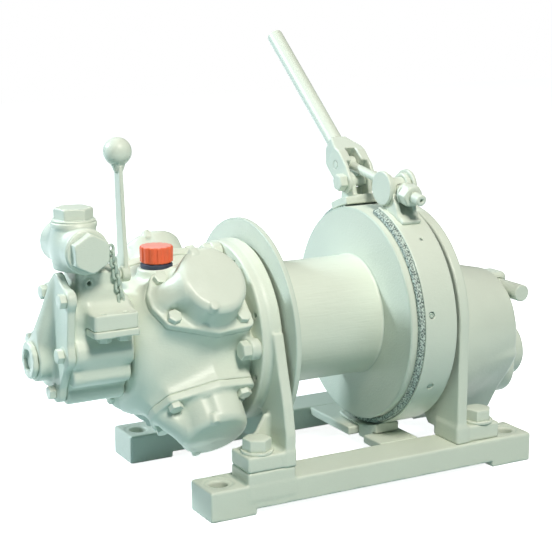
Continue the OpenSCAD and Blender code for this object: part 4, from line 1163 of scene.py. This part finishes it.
class WINCH_OT_drum(bpy.types.Operator):
    """Turn the rope barrel, its flange, the brake drum and the shaft."""

    bl_idname = "winch.drum"
    bl_label = "Rope drum"

    def execute(self, context):
        count = 2 * context.scene.winch_stage.rows
        centre = (0, AXIS_Z)
        barrel = [(-127.1, 79.7), (54.7, 79.7), (54.7, 94.5), (53, 92.6), (51, 91.7), (-122, 91.7),
                  (-124.5, 92.8), (-127.1, 95.5)]
        flange = [(-136.2, 25.1), (-127.2, 25.1), (-127.2, 164), (-136.2, 164)]
        brake = [(54.8, 25.1), (66.8, 25.1), (66.8, 153), (131.8, 153), (131.8, 165), (54.8, 165)]
        for name, node, path, r in (("barrel_turned", "rope_barrel", barrel, 3),
                                    ("flange_turned", "drum_flange", flange, 2.2),
                                    ("brake_drum_turned", "brake_drum", brake, 3)):
            points, faces = turned(round_path(path, r, 5, closed=True), centre, count)
            make_piece(name, points, faces, enamel("turned"), [node])
        shaft = round_path([(0.1, 0), (25, 0), (25, 328.8), (0.1, 328.8)], 2)
        make_piece("shaft_turned", *placed_stack(shaft, (-171, 0, AXIS_Z), (1, 0, 0), 64),
                   enamel("turned"), ["drum_shaft"])
        return {"FINISHED"}


class WINCH_OT_brake(bpy.types.Operator):
    """Make the woven lining, the band with its rivets and the two ears."""

    bl_idname = "winch.brake"
    bl_label = "Band brake"

    def execute(self, context):
        lining_strip()
        cast("band_steel", "brake_band", band_field, 1.3, wave=0, grow=5)
        shapes = []
        for x, degrees in RIVETS[1:]:
            out = np.array((0, -math.cos(math.radians(degrees)), math.sin(math.radians(degrees))))
            shapes.append(placed_stack(RIVET, (x, 0, AXIS_Z) + out * (BAND_R - 3), out, 24))
        make_piece("rivet_set", *stacked(shapes), enamel("cast"), ["brake_band"])
        rear = [(46, 420), (41, 384.5), (83, 379.5), (74, 420)]
        front = [(-66, 418), (-79, 398), (-90, 362), (-24, 392), (-26, 418)]
        clamp = (LINING_X[0] - 1.5, LINING_X[1] + 1)
        rear_field = lambda p: ear_field(p, PIVOT, rear, 15, 8.1, (101, 117), clamp)
        front_field = lambda p: ear_field(p, TRUNNION, front, 21, 15.1, (58, 75))
        cast("rear_ear_casting", "rear_ear", rear_field, 1.5, wave=0.1, grow=36)
        cast("front_ear_casting", "front_ear", front_field, 1.5, wave=0.1)
        return {"FINISHED"}


def lining_strip(low=-256.0, high=76.0):
    """The lining: a rectangle with rounded corners carried round the drum from one end of the
    band to the other, its surface broken by waves, with a map along and across it."""
    inner, thick = LINING_R, LINING_THICK
    x0, x1 = LINING_X
    outer_r = inner + thick - 0.1
    rim = round_path([(x0, inner), (x1, inner), (x1, outer_r), (x0, outer_r)], 1.2, 4, closed=True)
    runs = np.roll(rim, -1, axis=0) - rim
    steps = np.maximum(1, np.round(np.linalg.norm(runs, axis=1) / 2.0)).astype(int)
    share = np.concatenate([np.arange(n) / n for n in steps])
    start, step = np.repeat(rim, steps, axis=0), np.repeat(runs, steps, axis=0)
    rim = start + step * share[:, None]
    count = 520
    a = np.radians(np.linspace(low, high, count))[:, None]
    x, r = rim[None, :, 0] + 0 * a, rim[None, :, 1] + 0 * a
    rough = 0.35 * np.sin(a * 160 + x * 1.1) * np.sin(x * 1.6 + 3 * np.sin(a * 40))
    side = np.where(np.isclose(rim[:, 0], x0), -1.0, np.where(np.isclose(rim[:, 0], x1), 1.0, 0.0))
    x = x + side[None] * rough
    outer = rim[:, 1] > inner + thick / 2
    r = r - outer[None] * np.abs(rough) * 0.5
    points = np.stack([x, -r * np.cos(a), AXIS_Z + r * np.sin(a)], -1).reshape(-1, 3)
    points, faces = closed_ends(points, count, len(rim))
    piece = make_piece("lining_strip", points, faces[:, ::-1], woven(), ["brake_lining"],
                       "woven_lining")
    along = np.concatenate([(a * (inner + thick) + 0 * x).ravel(), [low * 3, high * 3]]) * MM
    across = np.concatenate([(x + r).ravel(), [0, 0]]) * MM
    mesh = piece.data
    layer = mesh.uv_layers.new(name="weave")
    corner = np.zeros(len(mesh.loops), np.int32)
    mesh.loops.foreach_get("vertex_index", corner)
    layer.data.foreach_set("uv", np.stack([along[corner], across[corner]], 1).astype(np.float32).ravel())


class WINCH_OT_linkage(bpy.types.Operator):
    """Make the fork, the brake lever, its pivot bolt and pin, the trunnion, the link rod and nut."""

    bl_idname = "winch.linkage"
    bl_label = "Brake linkage"

    def execute(self, context):
        cast("fork_casting", "brake_fork", fork_field, 1.6, wave=0.15)
        c, s = math.cos(math.radians(LEVER_RISE)), math.sin(math.radians(LEVER_RISE))
        tube = round_path([(0.1, 86.2), (13, 86.2), (13, 345), (9.5, 345), (9.5, 342), (0.1, 342)], 1.6)
        points, faces = round_stack(tube, 64)
        make_piece("lever_tube", placed(points, PIVOT, frame_along((0, c, s))), faces, enamel("cast"),
                   ["brake_lever"])
        shapes = [bolt(16, 12, beside(PIVOT, -25.1), (-1, 0, 0), turn=0.3),
                  bolt(16, 10, beside(PIVOT, 25.1), (1, 0, 0), turn=0.1),
                  placed_stack([(8, 0), (8, 66)], beside(PIVOT, -25), (1, 0, 0))]
        make_piece("pivot_bolt_and_nut", *stacked(shapes), enamel("cast"), ["pivot_bolt"])
        pin = round_path([(0.1, 0), (6, 0), (6, 50), (0.1, 50)], 1)
        make_piece("link_pin_turned", *placed_stack(pin, beside(LINK_PIN, -25), (1, 0, 0)),
                   enamel("cast"), ["link_pin"])
        cast("trunnion_turned", "trunnion", trunnion_field, 1.5, wave=0.1)
        cast("link_rod_forging", "link_rod", rod_field, 1.2, wave=0.1)
        cast("long_nut", "rod_nut", nut_field, 1.2, wave=0.1)
        return {"FINISHED"}


def beside(point, distance):
    """A point moved along X."""
    return (point[0] + distance, *point[1:])


def placed_stack(profile, origin, axis, count=40):
    """A turned stack set along an axis."""
    points, faces = round_stack(profile, count)
    return placed(points, origin, frame_along(axis, (0, 0, 1))), faces


class WINCH_OT_gear(bpy.types.Operator):
    """Make the gear case, its end cover and the clutch bar."""

    bl_idname = "winch.gear"
    bl_label = "Gear case"

    def execute(self, context):
        cast("gear_case_casting", "gear_case", gear_case_field, 2.4)
        cast("gear_cover_casting", "gear_end_cover", gear_cover_field, 2.2)
        bar = round_path([(0.1, 0), (13.5, 0), (13.5, 150), (0.1, 150)], 2)
        start = (CLUTCH[0], 70, CLUTCH[1])
        make_piece("clutch_bar_turned", *placed_stack(bar, start, (0, -1, 0), 64), enamel("turned"),
                   ["clutch_bar"])
        return {"FINISHED"}


class WINCH_OT_bolts(bpy.types.Operator):
    """Make all hexagon bolts with their washers."""

    bl_idname = "winch.bolts"
    bl_label = "Bolts"

    def execute(self, context):
        turn = iter(np.random.default_rng(7).uniform(0, 1.0, 40))
        feet = [bolt(24, 17, (x, s * y, z), (0, 0, 1), 20, (23, 4), next(turn))
                for s in (-1, 1) for x, y, z in ((-192, 150, MOTOR_FOOT_Z), (193, 146, GEAR_FOOT_Z))]
        heads = []
        for angle in HEAD_ANGLES:
            c, s = math.cos(math.radians(angle)), math.sin(math.radians(angle))
            out, side = np.array((0, -c, s)), np.array((0, s, c))
            heads += [bolt(12, 8.5, (HEAD_X + u, *(v * side + HEAD_Z * out)[1:] + (0, MOTOR_Z)), out, 11,
                           turn=next(turn)) for u, v in HEAD_CORNERS]
        mount = [bolt(16, 12, (MOUNT_SEAT, *on_ring(a)), (-1, 0, 0), 15, turn=next(turn))
                 for a in np.radians((0, 90, 180, 270))]
        cover = [bolt(12, 8.5, (COVER_X0 - 2, y, z), (-1, 0, 0), 13, turn=next(turn))
                 for y, z in COVER_BOLTS]
        cover.append(bolt(12, 8, (CHEST_X1, *LOW_BOLT), (-1, 0, 0), 8, turn=0.4))
        exhaust = [bolt(12, 8, (x, -PORT_Y, 265), (0, 0, -1), 9, turn=next(turn)) for x in (-395, -366)]
        for name, node, shapes in (("foot_bolt_set", "foot_bolts", feet),
                                   ("head_bolt_set", "head_bolts", heads),
                                   ("mount_bolt_set", "motor_mount_bolts", mount),
                                   ("cover_bolt_set", "end_cover_bolts", cover),
                                   ("exhaust_bolt_set", "exhaust_bolts", exhaust)):
            make_piece(name, *stacked(shapes), enamel("cast"), [node])
        return {"FINISHED"}


class WINCH_OT_stage(bpy.types.Operator):
    """Set up the floor, the lamps, the room light and the camera."""

    bl_idname = "winch.stage"
    bl_label = "Stage"

    def execute(self, context):
        stage = context.scene.winch_stage
        bpy.context.scene.view_settings.view_transform = "Standard"
        floor()
        lamp("key_lamp", (-2.1, 1.7, 1.9), 0.35, stage.key, (0.80, 0.92, 1.0))
        lamp("front_lamp", (-0.35, -2.35, 3.1), 0.9, stage.fill, (1.0, 0.95, 0.87))
        lamp("top_lamp", (0.0, -0.2, 2.8), 2.4, stage.top, WHITE)
        room_light(stage.sky)
        camera = bpy.data.cameras.new("camera")
        camera.lens = stage.lens
        camera.sensor_width = 36
        camera.clip_start = 0.05
        holder = bpy.data.objects.new("camera", camera)
        holder.location = CAMERA_PLACE
        turn = (-Vector(CAMERA_BACK).normalized()).to_track_quat("-Z", "Y")
        holder.rotation_mode = "QUATERNION"
        holder.rotation_quaternion = turn @ Quaternion((0, 0, 1), stage.roll)
        context.scene.collection.objects.link(holder)
        context.scene.camera = holder
        return {"FINISHED"}


def lamp(name, place, size, power, colour, target=(0, 0, 0.2)):
    """A square area lamp that looks at the middle of the winch."""
    light = bpy.data.lights.new(name, "AREA")
    light.color = colour
    light.size = size
    light.energy = power
    holder = bpy.data.objects.new(name, light)
    holder.location = place
    holder.rotation_mode = "QUATERNION"
    holder.rotation_quaternion = (Vector(target) - Vector(place)).to_track_quat("-Z", "Y")
    bpy.context.scene.collection.objects.link(holder)


def floor():
    """A wide pale floor that keeps the shadow. The camera and glosses see it white, lifted by
    light of its own; other light meets a muted green floor."""
    mesh = bpy.data.meshes.new("floor")
    w = 6.0
    mesh.from_pydata([(-w, -w, 0), (w, -w, 0), (w, w, 0), (-w, w, 0)], [], [(0, 1, 2, 3)])
    piece = bpy.data.objects.new("floor", mesh)
    bpy.context.scene.collection.objects.link(piece)
    s = Shader("floor_white")
    ray = s.tree.nodes.new("ShaderNodeLightPath")
    glossy = Number(s, ray.outputs["Is Glossy Ray"])
    direct = Number(s, ray.outputs["Is Camera Ray"]).math("MAXIMUM", glossy)
    s.finish(Base_Color=s.mix(direct, (0.28, 0.45, 0.47, 1), (0.95, 0.95, 0.95, 1)), Roughness=0.9,
             Specular_IOR_Level=0.1)
    light = s.add("ShaderNodeEmission", {}, {"Color": (1, 1, 1, 1), "Strength": 1.0})
    shaded = Number(s, s.surface.outputs[0])
    lifted = s.add("ShaderNodeAddShader", {}, {0: shaded, 1: light})
    blend = s.add("ShaderNodeMixShader", {}, {0: direct * 0.88, 1: shaded, 2: lifted})
    s.put(s.tree.nodes["Material Output"].inputs[0], blend)
    mesh.materials.append(s.material)


def room_light(strength):
    """Even light from all round, seen as plain white by the camera alone."""
    world = bpy.data.worlds.new("room")
    bpy.context.scene.world = world
    world.use_nodes = True
    tree = world.node_tree
    back = tree.nodes["Background"]
    seen = tree.nodes.new("ShaderNodeBackground")
    seen.inputs[0].default_value = (1, 1, 1, 1)
    back.inputs[0].default_value = (0.62, 0.86, 0.92, 1)
    back.inputs[1].default_value = strength
    ray = tree.nodes.new("ShaderNodeLightPath")
    mix = tree.nodes.new("ShaderNodeMixShader")
    tree.links.new(ray.outputs["Is Camera Ray"], mix.inputs[0])
    tree.links.new(back.outputs[0], mix.inputs[1])
    tree.links.new(seen.outputs[0], mix.inputs[2])
    tree.links.new(mix.outputs[0], tree.nodes["World Output"].inputs[0])


class WINCH_PT_panel(bpy.types.Panel):
    """Lists the winch's operators and settings."""

    bl_label = "Air winch"
    bl_idname = "WINCH_PT_panel"
    bl_space_type = "VIEW_3D"
    bl_region_type = "UI"
    bl_category = "Winch"

    def draw(self, context):
        for operator in OPERATORS:
            self.layout.operator(operator.bl_idname)
        for group in ("winch_paint", "winch_casting", "winch_stage"):
            settings = getattr(context.scene, group)
            for key in settings.bl_rna.properties.keys()[2:]:
                self.layout.prop(settings, key)


OPERATORS = (WINCH_OT_stage, WINCH_OT_base, WINCH_OT_frames, WINCH_OT_motor, WINCH_OT_valve,
             WINCH_OT_breather, WINCH_OT_throttle, WINCH_OT_drum, WINCH_OT_brake, WINCH_OT_linkage,
             WINCH_OT_gear, WINCH_OT_bolts)
GROUPS = (("winch_paint", WinchPaint), ("winch_casting", WinchCasting), ("winch_stage", WinchStage))


def register():
    for name, group in GROUPS:
        bpy.utils.register_class(group)
        setattr(bpy.types.Scene, name, PointerProperty(type=group))
    for operator in OPERATORS:
        bpy.utils.register_class(operator)
    bpy.utils.register_class(WINCH_PT_panel)


def unregister():
    bpy.utils.unregister_class(WINCH_PT_panel)
    for operator in reversed(OPERATORS):
        bpy.utils.unregister_class(operator)
    for name, group in reversed(GROUPS):
        delattr(bpy.types.Scene, name)
        bpy.utils.unregister_class(group)


def main():
    """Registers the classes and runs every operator."""
    register()
    for operator in OPERATORS:
        getattr(bpy.ops.winch, operator.bl_idname.split(".")[1])()


if __name__ == "__main__":
    main()
